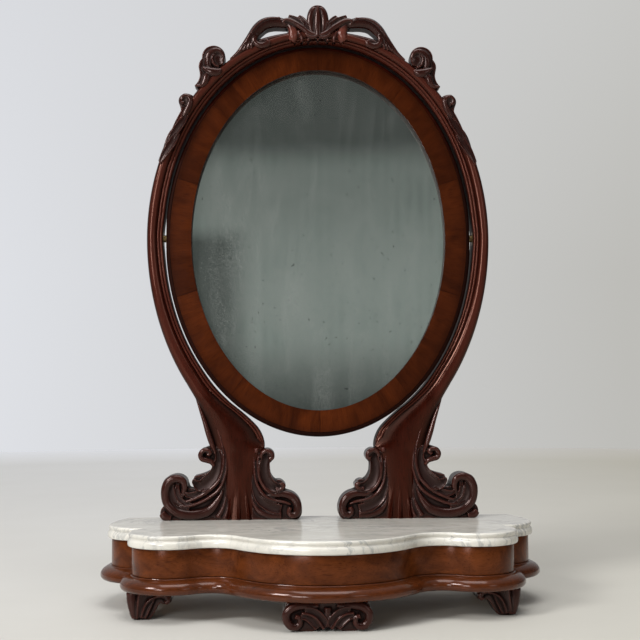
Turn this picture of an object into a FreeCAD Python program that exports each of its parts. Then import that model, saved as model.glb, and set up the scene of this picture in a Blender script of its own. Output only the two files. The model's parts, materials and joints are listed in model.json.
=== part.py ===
import FreeCAD, Part
import math
import os

V = FreeCAD.Vector
os.makedirs("parts", exist_ok=True)

# Heights of the base, from the floor up (millimetres)
foot_height = 37.0
moulding_height = 20.5
frieze_height = 38.5
marble_thickness = 18.0

# Plan of the frieze face: distances ahead of the straight back edge, and half widths
frieze_depth = 290.0
lobe_x = 209.5
lobe_ahead = 171.0
lobe_radius = 54.0
hollow_step = 55.5
hollow_dip = 16.0
wing_radius = 54.0
wing_tail_radius = 194.0
wing_angle = 23.8
notch_depth = 34.2
marble_overhang = 6.0
moulding_projection = 16.0
board_inset = 8.0
frieze_wall = 16.0

# Fits and cutting
cut_overrun = 3.0
running_fit = 0.05
glue_fit = 0.1
slide_clearance = 0.4

# Frieze drawer
drawer_front_wall = 18.0
drawer_side_wall = 12.0
drawer_back_gap = 11.0
drawer_back_wall = 8.0
drawer_top_gap = 4.5
drawer_bottom_wall = 5.0
drawer_bottom_rise = 3.0
runner_width = 12.0
runner_height = 14.0
runner_gap = 2.4
stop_width = 30.0
stop_length = 12.0
stop_height = 14.0
stop_x = 150.0

# Rails under the marble
back_rail_wall = 14.0
bearer_width = 36.0
bearer_height = 16.0

# Feet
centre_foot_half_width = 55.5
centre_foot_proud = 2.0
centre_foot_depth = 44.0
front_foot_width = 62.0
front_foot_proud = 3.5
front_foot_lead = 34.0
front_foot_depth = 42.0
back_foot_width = 52.0
back_foot_depth = 46.0
back_foot_taper = 8.0
back_foot_ahead = 62.0

# Uprights and arch: ovals about the mirror pivot, each wider than the mirror by a gap and a band
mirror_rise = 123.5
pivot_ahead = 29.0
post_front_ahead = 47.0
post_depth = 36.0
mirror_gap_side = 5.5
mirror_gap_end = 3.0
post_band = 23.5
arch_band = 18.0
lower_band = 41.0
post_bevel_width = 11.0
post_bevel_depth = 14.0
joint_angle = 40.0
flare_angle = 50.0
joint_inner_share = 0.8

# Carved foot of each upright
foot_inner_x = 27.0
foot_span = 211.0
foot_rise = 114.0
leaf_ahead = 50.0
leaf_depth = 43.0
shaft_inner_share = 0.36
shaft_outer_share = 0.53

# Crest carvings
crest_stand = 39.5
crest_depth = 24.0
crest_ahead = 48.0
palmette_half_width = 17.0
palmette_rise = 50.0
scroll_inner_x = 15.0
scroll_span = 116.0
scroll_stand = 22.5
scroll_rise = 64.0
volute_angle = 35.3
volute_stand = 18.7
volute_radius = 18.0
drop_angle = 44.9
drop_stand = 8.5
husk_angle = 46.4
husk_lap = 2.7
husk_rise = 113.0
husk_span = 60.0

# Dowels, bolts and washers
dowel_diameter = 8.0
dowel_length = 36.0
dowel_spread = 10.0
bolt_diameter = 8.0
bolt_grip = 40.0
bolt_head_diameter = 14.0
bolt_head_height = 5.0
bolt_spread = 19.0
bolt_clearance = 0.5
washer_diameter = 18.0
washer_thickness = 1.6

# Oval mirror, upright about its pivot before it is tilted back
mirror_tilt = 3.0
mirror_half_width = 231.5
mirror_half_height = 301.0
mirror_band = 38.0
mirror_half_thickness = 12.0
mirror_edge = 5.0
lip_thickness = 10.0
rebate_width = 8.0
ledge_width = 10.0
glass_thickness = 4.0
glass_play = 0.5
backboard_thickness = 5.0
veneer_thickness = 1.2
veneer_margin = 0.5
veneer_segments = 10
wedge_count = 8
wedge_length = 16.0
board_screw_count = 8
board_screw_depth = 12.0
board_screw_diameter = 3.5
board_screw_head = 7.0
board_screw_head_depth = 2.0

# Pivot fittings
plate_height = 30.0
plate_width = 13.0
plate_thickness = 3.0
plate_proud = 0.4
pin_diameter = 6.0
pin_grip = 9.0
collar_diameter = 11.0
collar_play = 0.4
plate_screw_diameter = 3.0
plate_screw_length = 12.0
plate_screw_head = 5.0
plate_screw_head_depth = 1.4
plate_screw_share = 0.33

# Levels and places that follow from the sizes above
board_top = foot_height + moulding_height
marble_bottom = board_top + frieze_height
marble_top_height = marble_bottom + marble_thickness
back_y = (frieze_depth + moulding_projection) / 2
post_front = back_y - post_front_ahead
pivot_y = back_y - pivot_ahead
parting_y = back_y - lobe_ahead
front_y = back_y - frieze_depth
bearer_front_y = back_y - back_rail_wall - bearer_width
drawer_back_y = bearer_front_y - drawer_back_gap
drawer_box_height = frieze_height - drawer_top_gap

# Circles of the plan: the wing lies behind the lobe, as far off as the notch between them is deep
hollow_x = lobe_x - hollow_step
hollow_ahead = lobe_ahead + lobe_radius - hollow_dip
notch_inset = lobe_radius - notch_depth
wing_apart = math.sqrt(lobe_radius**2 - notch_inset**2) + math.sqrt(wing_radius**2 - notch_inset**2)
wing_x = lobe_x + wing_apart * math.sin(math.radians(wing_angle))
wing_ahead = lobe_ahead - wing_apart * math.cos(math.radians(wing_angle))
base_half_width = wing_x + wing_radius + moulding_projection

# Ovals of the stand, from the mirror outwards
pivot_height = marble_top_height + mirror_rise + mirror_half_height
opening_half_width = mirror_half_width + mirror_gap_side
opening_half_height = mirror_half_height + mirror_gap_end
arch_half_width = opening_half_width + post_band
arch_half_height = opening_half_height + arch_band
lower_half_height = opening_half_height + lower_band
arch_top = pivot_height + arch_half_height

# Edge of the marble: shares of the overhang that the edge stands out, and of the thickness
marble_edge_shares = [(0.72, 0.0), (0.93, 0.05), (1.0, 0.2), (0.97, 0.36), (0.82, 0.48), (0.62, 0.56),
                      (0.58, 0.66), (0.68, 0.74), (0.74, 0.84), (0.66, 0.94), (0.45, 1.0)]
# Cushion moulding of the plinth: shares of its projection, and of its height
moulding_edge_shares = [(0.55, 0.0), (0.82, 0.06), (0.97, 0.2), (1.0, 0.36), (0.95, 0.52), (0.8, 0.68),
                        (0.56, 0.81), (0.3, 0.9), (0.1, 0.95), (0.06, 1.0)]

# Outlines as shares: across from the inner end, and up from the lower edge
centre_foot_shares = [[(-0.92, 1.0), (-1.0, 0.72), (-0.99, 0.4), (-0.86, 0.1), (-0.74, 0.04), (-0.62, 0.0)],
                      [(-0.62, 0.0), (-0.36, 0.0)],
                      [(-0.36, 0.0), (-0.2, 0.08), (0.0, 0.14), (0.2, 0.08), (0.36, 0.0)],
                      [(0.36, 0.0), (0.62, 0.0)],
                      [(0.62, 0.0), (0.74, 0.04), (0.86, 0.1), (0.99, 0.4), (1.0, 0.72), (0.92, 1.0)],
                      [(0.92, 1.0), (-0.92, 1.0)]]
front_foot_shares = [[(0.16, 1.0), (0.06, 0.92), (0.02, 0.77), (0.04, 0.62), (0.14, 0.55), (0.26, 0.6)],
                     [(0.26, 0.6), (0.36, 0.36), (0.43, 0.14), (0.54, 0.0)],
                     [(0.54, 0.0), (0.8, 0.0)],
                     [(0.8, 0.0), (0.89, 0.08), (0.95, 0.4), (1.0, 1.0)],
                     [(1.0, 1.0), (0.16, 1.0)]]
outer_leaf_shares = [[(0.53, 0.957), (0.667, 0.957)],
                     [(0.667, 0.957), (0.705, 0.925), (0.728, 0.87), (0.71, 0.805), (0.667, 0.773)],
                     [(0.667, 0.773), (0.636, 0.735), (0.634, 0.68), (0.67, 0.625), (0.72, 0.59),
                      (0.764, 0.57)],
                     [(0.764, 0.57), (0.765, 0.53), (0.75, 0.48), (0.736, 0.44)],
                     [(0.736, 0.44), (0.77, 0.41), (0.803, 0.42)],
                     [(0.803, 0.42), (0.82, 0.5), (0.856, 0.565), (0.91, 0.585), (0.96, 0.555), (0.99, 0.47),
                      (1.0, 0.37), (0.995, 0.27), (0.978, 0.185)],
                     [(0.978, 0.185), (1.0, 0.13), (1.0, 0.06), (0.97, 0.0)],
                     [(0.97, 0.0), (0.53, 0.0)],
                     [(0.53, 0.0), (0.53, 0.957)]]
inner_leaf_shares = [[(0.36, 0.91), (0.254, 0.91)],
                     [(0.254, 0.91), (0.218, 0.885), (0.2, 0.83), (0.21, 0.77), (0.232, 0.735)],
                     [(0.232, 0.735), (0.236, 0.68), (0.224, 0.6), (0.205, 0.54), (0.185, 0.51)],
                     [(0.185, 0.51), (0.155, 0.515), (0.128, 0.475), (0.124, 0.425), (0.135, 0.39)],
                     [(0.135, 0.39), (0.085, 0.355), (0.04, 0.295), (0.008, 0.21), (0.0, 0.12), (0.01, 0.04),
                      (0.035, 0.0)],
                     [(0.035, 0.0), (0.36, 0.0)],
                     [(0.36, 0.0), (0.36, 0.91)]]
waist_shares = [(0.73, 1.495), (0.678, 1.295), (0.652, 1.08), (0.654, 0.99), (0.667, 0.957)]
shoulder_shares = [(0.254, 0.91), (0.266, 1.03), (0.3, 1.17), (0.36, 1.3), (0.44, 1.44)]
palmette_shares = [[(-0.62, 0.0), (-0.9, 0.25), (-1.0, 0.5), (-0.86, 0.78), (-0.5, 0.95), (0.0, 1.0),
                    (0.5, 0.95), (0.86, 0.78), (1.0, 0.5), (0.9, 0.25), (0.62, 0.0)],
                   [(0.62, 0.0), (-0.62, 0.0)]]
scroll_shares = [[(0.0, 0.28), (0.02, 0.68), (0.06, 0.88), (0.12, 0.98)],
                 [(0.12, 0.98), (0.15, 0.9), (0.19, 0.91)],
                 [(0.19, 0.91), (0.22, 0.96), (0.26, 1.0)],
                 [(0.26, 1.0), (0.3, 0.95), (0.34, 0.965)],
                 [(0.34, 0.965), (0.46, 0.99), (0.58, 0.93), (0.69, 0.83), (0.78, 0.66), (0.86, 0.44),
                  (0.93, 0.24), (1.0, 0.14)],
                 [(1.0, 0.14), (1.0, 0.04), (0.96, -0.4)],
                 [(0.96, -0.4), (0.0, -0.4)],
                 [(0.0, -0.4), (0.0, 0.28)]]
scroll_hole_shares = [[(0.67, 0.37), (0.6, 0.53), (0.5, 0.63), (0.4, 0.66), (0.31, 0.6), (0.25, 0.5)],
                      [(0.25, 0.5), (0.25, -0.5)],
                      [(0.25, -0.5), (0.67, -0.5)],
                      [(0.67, -0.5), (0.67, 0.37)]]
husk_shares = [[(0.0, 0.93), (0.12, 0.98), (0.26, 1.0), (0.4, 0.97), (0.455, 0.9), (0.42, 0.83), (0.4, 0.76)],
               [(0.4, 0.76), (0.52, 0.64), (0.62, 0.52)],
               [(0.62, 0.52), (0.74, 0.42), (0.86, 0.2), (0.96, 0.0)],
               [(0.96, 0.0), (0.6, 0.2)],
               [(0.6, 0.2), (0.0, 0.93)]]
drop_shares = [[(0.0, 1.0), (0.55, 0.98), (0.78, 0.72), (0.72, 0.4), (0.82, 0.14), (1.0, 0.0)],
               [(1.0, 0.0), (0.7, -0.24)],
               [(0.7, -0.24), (-0.6, 0.7)],
               [(-0.6, 0.7), (0.0, 1.0)]]


def on_circle(centre, radius, angle):
    """Point of a plan circle at an angle from the X axis."""
    return V(centre[0] + radius * math.cos(angle), centre[1] + radius * math.sin(angle), 0)


def plan_arc(centre, radius, start, end):
    """Arc edge in plan from one angle to the other."""
    middle = (start + end) / 2
    points = [on_circle(centre, radius, angle) for angle in (start, middle, end)]
    return Part.Arc(*points).toShape()


def angle_between(a, b):
    """Direction in plan from point a to point b."""
    return math.atan2(b[1] - a[1], b[0] - a[0])


def plan_circles():
    """Centres and radii of the tangent circles of the frieze face, right half."""
    lobe = (lobe_x, back_y - lobe_ahead)
    wing = (wing_x, back_y - wing_ahead)
    hollow_y = back_y - hollow_ahead
    across = lobe[0] - hollow_x
    behind = lobe[1] - hollow_y
    hollow_radius = (across**2 + behind**2 - lobe_radius**2) / (2 * (lobe_radius - behind))
    hollow = (hollow_x, hollow_y - hollow_radius)
    ahead = front_y - hollow[1]
    front_radius = (hollow_x**2 + ahead**2 - hollow_radius**2) / (2 * (hollow_radius - ahead))
    front = (0, front_y + front_radius)
    tail = (wing[0] + wing_radius - wing_tail_radius, wing[1])
    return front, front_radius, hollow, hollow_radius, lobe, wing, tail


def notch_point(lobe, wing, offset):
    """Outer meeting point of the lobe and wing circles, both grown by the offset."""
    r1 = lobe_radius + offset
    r2 = wing_radius + offset
    apart = math.hypot(wing[0] - lobe[0], wing[1] - lobe[1])
    along = (apart**2 + r1**2 - r2**2) / (2 * apart)
    aside = math.sqrt(r1**2 - along**2)
    ux = (wing[0] - lobe[0]) / apart
    uy = (wing[1] - lobe[1]) / apart
    return (lobe[0] + along * ux + aside * uy, lobe[1] + along * uy - aside * ux)


def on_arch_edge(turn, stand):
    """Place outside the right half of the arch: degrees round its oval from the top, and a distance out."""
    angle = math.radians(turn)
    place = V(arch_half_width * math.sin(angle), 0, arch_half_height * math.cos(angle))
    return V(0, 0, pivot_height).add(place).add(V(place).normalize().multiply(stand))


def mirrored(shape):
    """The same shape on the other side of the middle plane."""
    return shape.mirror(V(0, 0, 0), V(1, 0, 0))


def plan_wire(offset, height):
    """Closed outline of the base at one height, moved outwards by the offset."""
    front, front_radius, hollow, hollow_radius, lobe, wing, tail = plan_circles()
    to_hollow = angle_between(front, hollow)
    to_lobe = angle_between(hollow, lobe)
    notch = notch_point(lobe, wing, max(offset, 0))
    lobe_end = angle_between(lobe, notch)
    wing_start = angle_between(wing, notch)
    tail_radius = wing_tail_radius + offset
    tail_end = math.asin((back_y - tail[1]) / tail_radius)
    side = [plan_arc(hollow, hollow_radius - offset, to_hollow + math.pi, to_lobe),
            plan_arc(lobe, lobe_radius + offset, to_lobe - math.pi, lobe_end)]
    if offset < 0:
        side.append(plan_arc(notch, -offset, lobe_end + math.pi, wing_start + math.pi))
    side += [plan_arc(wing, wing_radius + offset, wing_start, 0),
             plan_arc(tail, tail_radius, 0, tail_end)]
    corner = on_circle(tail, tail_radius, tail_end)
    back_edge = Part.makeLine(corner, V(-corner.x, corner.y, 0))
    front_edge = plan_arc(front, front_radius + offset, -math.pi - to_hollow, to_hollow)
    edges = [front_edge] + side + [back_edge] + [mirrored(edge) for edge in reversed(side)]
    wire = Part.Wire(Part.__sortEdges__(edges))
    wire.translate(V(0, 0, height))
    return wire


def plan_prism(offset, bottom, top):
    """Upright block with the base's outline."""
    return Part.Face(plan_wire(offset, bottom)).extrude(V(0, 0, top - bottom))


def moulded_slab(projection, bottom, height, edge_shares):
    """Slab with the base's outline, its edge shaped by levels of projection."""
    wires = [plan_wire(projection * out, bottom + height * up) for out, up in edge_shares]
    return Part.makeLoft(wires, True, True)


def block(x0, x1, y0, y1, z0, z1):
    """Box between two corners."""
    return Part.makeBox(x1 - x0, y1 - y0, z1 - z0, V(x0, y0, z0))


def rod(diameter, start, end):
    """Round bar from one point to another."""
    axis = end.sub(start)
    return Part.makeCylinder(diameter / 2, axis.Length, start, axis)


def smooth_edge(points):
    """Straight edge through two points, or a smooth curve through more."""
    if len(points) == 2:
        return Part.LineSegment(*points).toShape()
    curve = Part.BSplineCurve()
    curve.interpolate(points)
    return curve.toShape()


def board(runs, place, depth):
    """Board cut to an outline made of smooth runs, extruded backwards."""
    edges = [smooth_edge([place(*point) for point in run]) for run in runs]
    return Part.Face(Part.Wire(edges)).extrude(V(0, depth, 0))


def oval_wire(half_width, half_height, y):
    """Oval about the pivot, standing in a plane across the depth."""
    centre = V(0, y, pivot_height)
    tall = V(0, y, pivot_height + half_height)
    wide = V(half_width, y, pivot_height)
    return Part.Wire(Part.Ellipse(tall, wide, centre).toShape())


def oval_disc(half_width, half_height, front, back):
    """Flat oval block about the pivot, between two depths."""
    return Part.Face(oval_wire(half_width, half_height, front)).extrude(V(0, back - front, 0))


def oval_ring(outer, inner, front, back):
    """Oval ring between two pairs of half axes."""
    hole = oval_disc(*inner, front - cut_overrun, back + cut_overrun)
    return oval_disc(*outer, front, back).cut(hole)


def oval_cone(half_axes, y, growth, depth):
    """Oval block whose half axes change by growth over a depth towards the front, with an overrun."""
    far = 1 + cut_overrun / depth
    wide = (half_axes[0] + growth * far, half_axes[1] + growth * far)
    return Part.makeLoft([oval_wire(*half_axes, y), oval_wire(*wide, y - depth * far)], True, True)


def opening_cut():
    """Space of the mirror opening, with the bevel that leads into it at the front."""
    opening = (opening_half_width, opening_half_height)
    hole = oval_disc(*opening, post_front - cut_overrun, back_y + cut_overrun)
    bevel = oval_cone(opening, post_front + post_bevel_depth, post_bevel_width, post_bevel_depth)
    return hole.fuse(bevel)


def oval_arc(half_width, height_span, start, end):
    """Arc of an oval about the pivot; angles run from its top, or its foot if the span is negative."""
    y = post_front
    centre = V(0, y, pivot_height)
    tip = V(0, y, pivot_height + height_span)
    side = V(half_width, y, pivot_height)
    ellipse = Part.Ellipse(tip, side, centre)
    return Part.ArcOfEllipse(ellipse, start, end).toShape()


def joint_points():
    """Ends of the joint between upright and arch: on the outer oval and inside the opening."""
    turn = math.radians(joint_angle)
    parameter = math.atan2(arch_half_height * math.sin(turn), arch_half_width * math.cos(turn))
    outer = V(arch_half_width * math.sin(parameter), post_front,
              pivot_height + arch_half_height * math.cos(parameter))
    centre = V(0, post_front, pivot_height)
    inner = centre.add(outer.sub(centre).multiply(joint_inner_share))
    return parameter, outer, inner


def dowel_axis(side):
    """Direction across the joint face, and the middle of the band there, on one side."""
    outer = joint_points()[1]
    centre = V(0, post_front, pivot_height)
    reach = outer.sub(centre)
    turn = math.radians(joint_angle)
    bore = math.hypot(math.sin(turn) / opening_half_width, math.cos(turn) / opening_half_height)
    middle_share = (1 + 1 / (bore * reach.Length)) / 2
    middle = centre.add(V(reach).multiply(middle_share))
    across = V(math.cos(turn), 0, -math.sin(turn))
    return V(side * middle.x, middle.y, middle.z), V(side * across.x, 0, across.z)


def arch_dowels(diameter, length):
    """Two dowels across each joint of the arch."""
    rods = []
    flat_depth = post_depth - post_bevel_depth
    for side in (-1, 1):
        middle, across = dowel_axis(side)
        for back in (-1, 1):
            place = middle.add(V(0, post_bevel_depth + (flat_depth + back * dowel_spread) / 2, 0))
            half = V(across).multiply(length / 2)
            rods.append(rod(diameter, place.sub(half), place.add(half)))
    return Part.makeCompound(rods)


def foot_place(y):
    """Place of shares of the upright's foot, at one depth."""
    return lambda across, up: V(foot_inner_x + foot_span * across, y, marble_top_height + foot_rise * up)


def bolt_places():
    """Bolts of both uprights, in plan, through the middle of each shaft."""
    middle = foot_inner_x + foot_span * (shaft_inner_share + shaft_outer_share) / 2
    y = post_front + post_depth / 2
    return [(side * (middle + step * bolt_spread / 2), y) for side in (-1, 1) for step in (-1, 1)]


def upright_bolts(diameter, head_diameter):
    """Bolts that come up through the bearer and the marble into the uprights."""
    head_top = marble_bottom - bearer_height - washer_thickness
    solids = []
    for x, y in bolt_places():
        shank = rod(diameter, V(x, y, head_top), V(x, y, marble_top_height + bolt_grip))
        head = rod(head_diameter, V(x, y, head_top - bolt_head_height), V(x, y, head_top))
        solids.append(shank.fuse(head).removeSplitter())
    return Part.makeCompound(solids)


def upright_washers():
    """Washers under the bolt heads."""
    top = marble_bottom - bearer_height
    solids = []
    for x, y in bolt_places():
        disc = rod(washer_diameter, V(x, y, top - washer_thickness), V(x, y, top))
        hole = rod(bolt_diameter + bolt_clearance, V(x, y, top - washer_thickness - cut_overrun),
                   V(x, y, top + cut_overrun))
        solids.append(disc.cut(hole))
    return Part.makeCompound(solids)


def right_upright():
    """Post, shoulder and shaft in one piece, from the arch joint down to the marble."""
    place = foot_place(post_front)
    parameter, outer, inner = joint_points()
    flare = math.radians(flare_angle)
    upper = oval_arc(arch_half_width, arch_half_height, parameter, math.pi / 2)
    lower = oval_arc(arch_half_width, -lower_half_height, flare, math.pi / 2)
    flare_point = lower.valueAt(lower.FirstParameter)
    waist = [flare_point] + [place(*point) for point in waist_shares]
    shoulder = [place(*point) for point in shoulder_shares]
    shaft = [place(shaft_outer_share, waist_shares[-1][1]), place(shaft_outer_share, 0),
             place(shaft_inner_share, 0), place(shaft_inner_share, shoulder_shares[0][1])]
    corners = [waist[-1]] + shaft + [shoulder[0]]
    edges = [upper, lower, smooth_edge(waist), smooth_edge(shoulder)]
    edges += [smooth_edge(list(pair)) for pair in zip(corners, corners[1:])]
    edges += [smooth_edge([shoulder[-1], inner]), smooth_edge([inner, outer])]
    face = Part.Face(Part.Wire(Part.__sortEdges__(edges)))
    post = face.extrude(V(0, post_depth, 0)).cut(opening_cut())
    post = max(post.Solids, key=lambda solid: solid.Volume)
    holes = [upright_bolts(bolt_diameter + 2 * running_fit, bolt_head_diameter),
             arch_dowels(dowel_diameter + 2 * running_fit, dowel_length + 2 * glue_fit),
             plate_pocket(), post_pin_hole(), plate_screws(True, 2 * running_fit)]
    return post.cut(holes)


def top_arch():
    """Arch over the mirror, between the two joints."""
    parameter, outer, inner = joint_points()
    crown = oval_arc(arch_half_width, arch_half_height, -parameter, parameter)
    left_outer = V(-outer.x, outer.y, outer.z)
    left_inner = V(-inner.x, inner.y, inner.z)
    edges = [crown, smooth_edge([outer, inner]), smooth_edge([inner, left_inner]),
             smooth_edge([left_inner, left_outer])]
    face = Part.Face(Part.Wire(Part.__sortEdges__(edges)))
    arch = face.extrude(V(0, post_depth, 0)).cut(opening_cut())
    arch = max(arch.Solids, key=lambda solid: solid.Volume)
    return arch.cut(arch_dowels(dowel_diameter + 2 * running_fit, dowel_length + 2 * glue_fit))


def on_arch(carving):
    """Carving trimmed to seat on the outer edge of the arch and posts."""
    seat = oval_disc(arch_half_width, arch_half_height, post_front - post_depth, back_y)
    trimmed = carving.cut(seat)
    return max(trimmed.Solids, key=lambda solid: solid.Volume)


def crest_front():
    """Depth of the front face of the crest carvings."""
    return back_y - crest_ahead


def crest_palmette():
    """Bud at the middle of the crest."""
    def place(across, up):
        return V(palmette_half_width * across, crest_front(),
                 arch_top + crest_stand + palmette_rise * (up - 1))
    bud = board(palmette_shares, place, crest_depth)
    return on_arch(bud.cut([right_crest_scroll(), left(right_crest_scroll)]))


def right_crest_scroll():
    """Pierced scroll with its two leaf tips, beside the palmette."""
    def place(across, up):
        return V(scroll_inner_x + scroll_span * across, crest_front(),
                 arch_top + scroll_stand + scroll_rise * (up - 1))
    scroll = board(scroll_shares, place, crest_depth)
    hole = board(scroll_hole_shares, place, crest_depth)
    return on_arch(scroll.cut(hole))


def right_shoulder_volute():
    """Round volute on the shoulder of the arch, with the leaf that drops from it."""
    depth = V(0, crest_front(), 0)
    eye = on_arch_edge(volute_angle, volute_stand).add(depth)
    tip = on_arch_edge(drop_angle, drop_stand).add(depth)
    disc = rod(2 * volute_radius, eye, eye.add(V(0, crest_depth, 0)))

    def place(across, up):
        return V(eye.x + (tip.x - eye.x) * across, eye.y, tip.z + (eye.z - tip.z) * up)
    drop = board(drop_shares, place, crest_depth)
    volute = disc.fuse(drop).removeSplitter().cut(right_crest_scroll())
    return on_arch(volute)


def right_husk():
    """Hooked husk and its leaf on the outer edge of the post, below the joint."""
    head = on_arch_edge(husk_angle, 0)

    def place(across, up):
        return V(head.x - husk_lap + husk_span * across, crest_front(), head.z + husk_rise * (up - 1))
    return on_arch(board(husk_shares, place, crest_depth))


def right_outer_leaf():
    """Acanthus block with the large volute, glued to the outer side of the shaft."""
    return board(outer_leaf_shares, foot_place(back_y - leaf_ahead), leaf_depth)


def right_inner_leaf():
    """Acanthus block glued to the inner side of the shaft."""
    return board(inner_leaf_shares, foot_place(back_y - leaf_ahead), leaf_depth)


def tilted(shape):
    """Shape turned back about the pivot axis, as the mirror stands at rest."""
    turned = shape.copy()
    turned.rotate(V(0, pivot_y, pivot_height), V(1, 0, 0), -mirror_tilt)
    return turned


mirror_outer = (mirror_half_width, mirror_half_height)
sight = (mirror_half_width - mirror_band, mirror_half_height - mirror_band)
rebate = (sight[0] + rebate_width, sight[1] + rebate_width)
ledge = (rebate[0] + ledge_width, rebate[1] + ledge_width)
mirror_front = pivot_y - mirror_half_thickness
mirror_back = pivot_y + mirror_half_thickness
lip_back = mirror_front + lip_thickness
glass_back = lip_back + glass_thickness
board_front = mirror_back - backboard_thickness


def mirror_frame():
    """Oval frame with a rounded front edge and a stepped rebate at the back."""
    ring = oval_ring(mirror_outer, sight, mirror_front, mirror_back)
    round_off = oval_cone(mirror_outer, mirror_front + mirror_edge, -mirror_edge, mirror_edge)
    body = oval_disc(*mirror_outer, mirror_front + mirror_edge, mirror_back + cut_overrun)
    ring = ring.common(round_off.fuse(body))
    ring = ring.cut([oval_disc(*rebate, lip_back, mirror_back + cut_overrun),
                     oval_disc(*ledge, board_front, mirror_back + cut_overrun)])
    holes = [backboard_screws(2 * running_fit)]
    for side in (-1, 1):
        holes += [mirror_plate_pocket(side), mirror_pin_bore(side)]
    holes.append(mirror_plate_screws(2 * running_fit))
    return ring.cut(holes)


def veneer_band():
    """Cross-banded veneer on the front of the mirror frame, in fitted segments."""
    edge = mirror_edge + veneer_margin
    outer = (mirror_outer[0] - edge, mirror_outer[1] - edge)
    ring = oval_ring(outer, sight, mirror_front - veneer_thickness, mirror_front)
    step = 2 * math.pi / veneer_segments
    reach = mirror_half_height + mirror_half_width
    segments = []
    for index in range(veneer_segments):
        start = index * step
        corners = [V(0, 0, 0)]
        corners += [V(reach * math.sin(a), 0, reach * math.cos(a)) for a in (start, start + step)]
        wedge = Part.Face(Part.makePolygon(corners + [corners[0]]))
        middle = start + step / 2
        inset = V(math.sin(middle), 0, math.cos(middle)).multiply(glue_fit)
        wedge.translate(V(0, mirror_front - veneer_thickness - cut_overrun, pivot_height).add(inset))
        segments += ring.common(wedge.extrude(V(0, veneer_thickness + 2 * cut_overrun, 0))).Solids
    return Part.makeCompound(segments)


def mirror_glass():
    """Oval plate against the lip of the frame."""
    return oval_disc(rebate[0] - glass_play, rebate[1] - glass_play, lip_back, glass_back)


def oval_places(half_axes, count):
    """Evenly turned places round an oval about the pivot, with their outward directions."""
    places = []
    for index in range(count):
        turn = math.pi * (2 * index + 1) / count
        x = half_axes[0] * math.sin(turn)
        z = pivot_height + half_axes[1] * math.cos(turn)
        places.append((x, z, math.degrees(turn)))
    return places


def glass_wedges():
    """Wooden wedges that hold the glass against the lip, under the backboard."""
    wedges = []
    for x, z, turn in oval_places(sight, wedge_count):
        wedge = block(-wedge_length / 2, wedge_length / 2, glass_back, board_front,
                      -rebate_width / 2, rebate_width / 2)
        wedge.rotate(V(0, 0, 0), V(0, 1, 0), turn)
        wedge.translate(V(x, 0, z))
        wedges.append(wedge)
    return Part.makeCompound(wedges)


def backboard():
    """Thin oval board let into the back of the frame."""
    panel = oval_disc(ledge[0] - glue_fit, ledge[1] - glue_fit, board_front, mirror_back)
    return panel.cut(backboard_screws(2 * running_fit))


def screw(place, axis, diameter, length, head, head_depth):
    """Countersunk screw whose flat head starts at the place and whose shank runs along the axis."""
    cone = Part.makeCone(head / 2, diameter / 2, head_depth, place, axis)
    shank = Part.makeCylinder(diameter / 2, length, place, axis)
    return cone.fuse(shank).removeSplitter()


def backboard_screws(play):
    """Screws round the edge of the backboard; play widens them into their holes."""
    middle = (ledge[0] - ledge_width / 2, ledge[1] - ledge_width / 2)
    return Part.makeCompound([screw(V(x, mirror_back, z), V(0, -1, 0), board_screw_diameter + play,
                                    board_screw_depth + play, board_screw_head + play, board_screw_head_depth)
                              for x, z, turn in oval_places(middle, board_screw_count)])


def plate_at(x, side):
    """Fitting plate with its outer face at x, lying towards the side given."""
    near, far = sorted((x, x + side * plate_thickness))
    return block(near, far, pivot_y - plate_width / 2, pivot_y + plate_width / 2,
                 pivot_height - plate_height / 2, pivot_height + plate_height / 2)


post_plate_x = opening_half_width - plate_proud
mirror_plate_x = mirror_half_width + plate_proud


def pin_rod(x0, x1, play):
    """Length of the pivot pin on the right side, widened by the play."""
    return rod(pin_diameter + play, V(x0, pivot_y, pivot_height), V(x1, pivot_y, pivot_height))


def pin_outer():
    """Distance from the middle to the outer end of the pivot pin, in the post."""
    return post_plate_x + pin_grip


def pin_inner():
    """Distance from the middle to the inner end of the pivot pin, in the mirror frame."""
    return mirror_plate_x - pin_grip


def plate_pocket():
    """Recess for the plate in the inner face of the right post."""
    near = opening_half_width - cut_overrun
    grown = glue_fit + plate_width / 2
    tall = glue_fit + plate_height / 2
    return block(near, post_plate_x + plate_thickness, pivot_y - grown, pivot_y + grown,
                 pivot_height - tall, pivot_height + tall)


def post_pin_hole():
    """Hole for the pin in the right post and its plate."""
    return pin_rod(opening_half_width - cut_overrun, pin_outer() + glue_fit, 2 * running_fit)


def mirror_plate_pocket(side):
    """Recess for the plate in the outer edge of the mirror frame."""
    x = side * (mirror_plate_x - plate_thickness)
    near, far = sorted((x, side * (mirror_plate_x + cut_overrun)))
    grown = glue_fit + plate_width / 2
    tall = glue_fit + plate_height / 2
    return block(near, far, pivot_y - grown, pivot_y + grown, pivot_height - tall, pivot_height + tall)


def mirror_pin_bore(side):
    """Bore in the edge of the mirror frame in which the pin turns."""
    bore = pin_rod(pin_inner() - collar_play, mirror_plate_x, 2 * running_fit)
    return bore if side > 0 else mirrored(bore)


def right_pivot_plate():
    """Plate let into the post, which carries the pin."""
    plate = plate_at(post_plate_x, 1)
    return plate.cut([post_pin_hole(), plate_screws(True, 2 * running_fit)])


def right_mirror_plate():
    """Plate let into the mirror frame, which turns on the pin."""
    plate = plate_at(mirror_plate_x, -1)
    hole = pin_rod(mirror_plate_x - plate_thickness - cut_overrun, mirror_plate_x + cut_overrun,
                   2 * running_fit)
    return plate.cut([hole, mirror_plate_screws(2 * running_fit)])


def right_pivot_pin():
    """Pin with a collar that keeps mirror and post apart."""
    collar = rod(collar_diameter, V(mirror_plate_x + collar_play, pivot_y, pivot_height),
                 V(post_plate_x, pivot_y, pivot_height))
    return pin_rod(pin_inner(), pin_outer(), 0).fuse(collar).removeSplitter()


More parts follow.
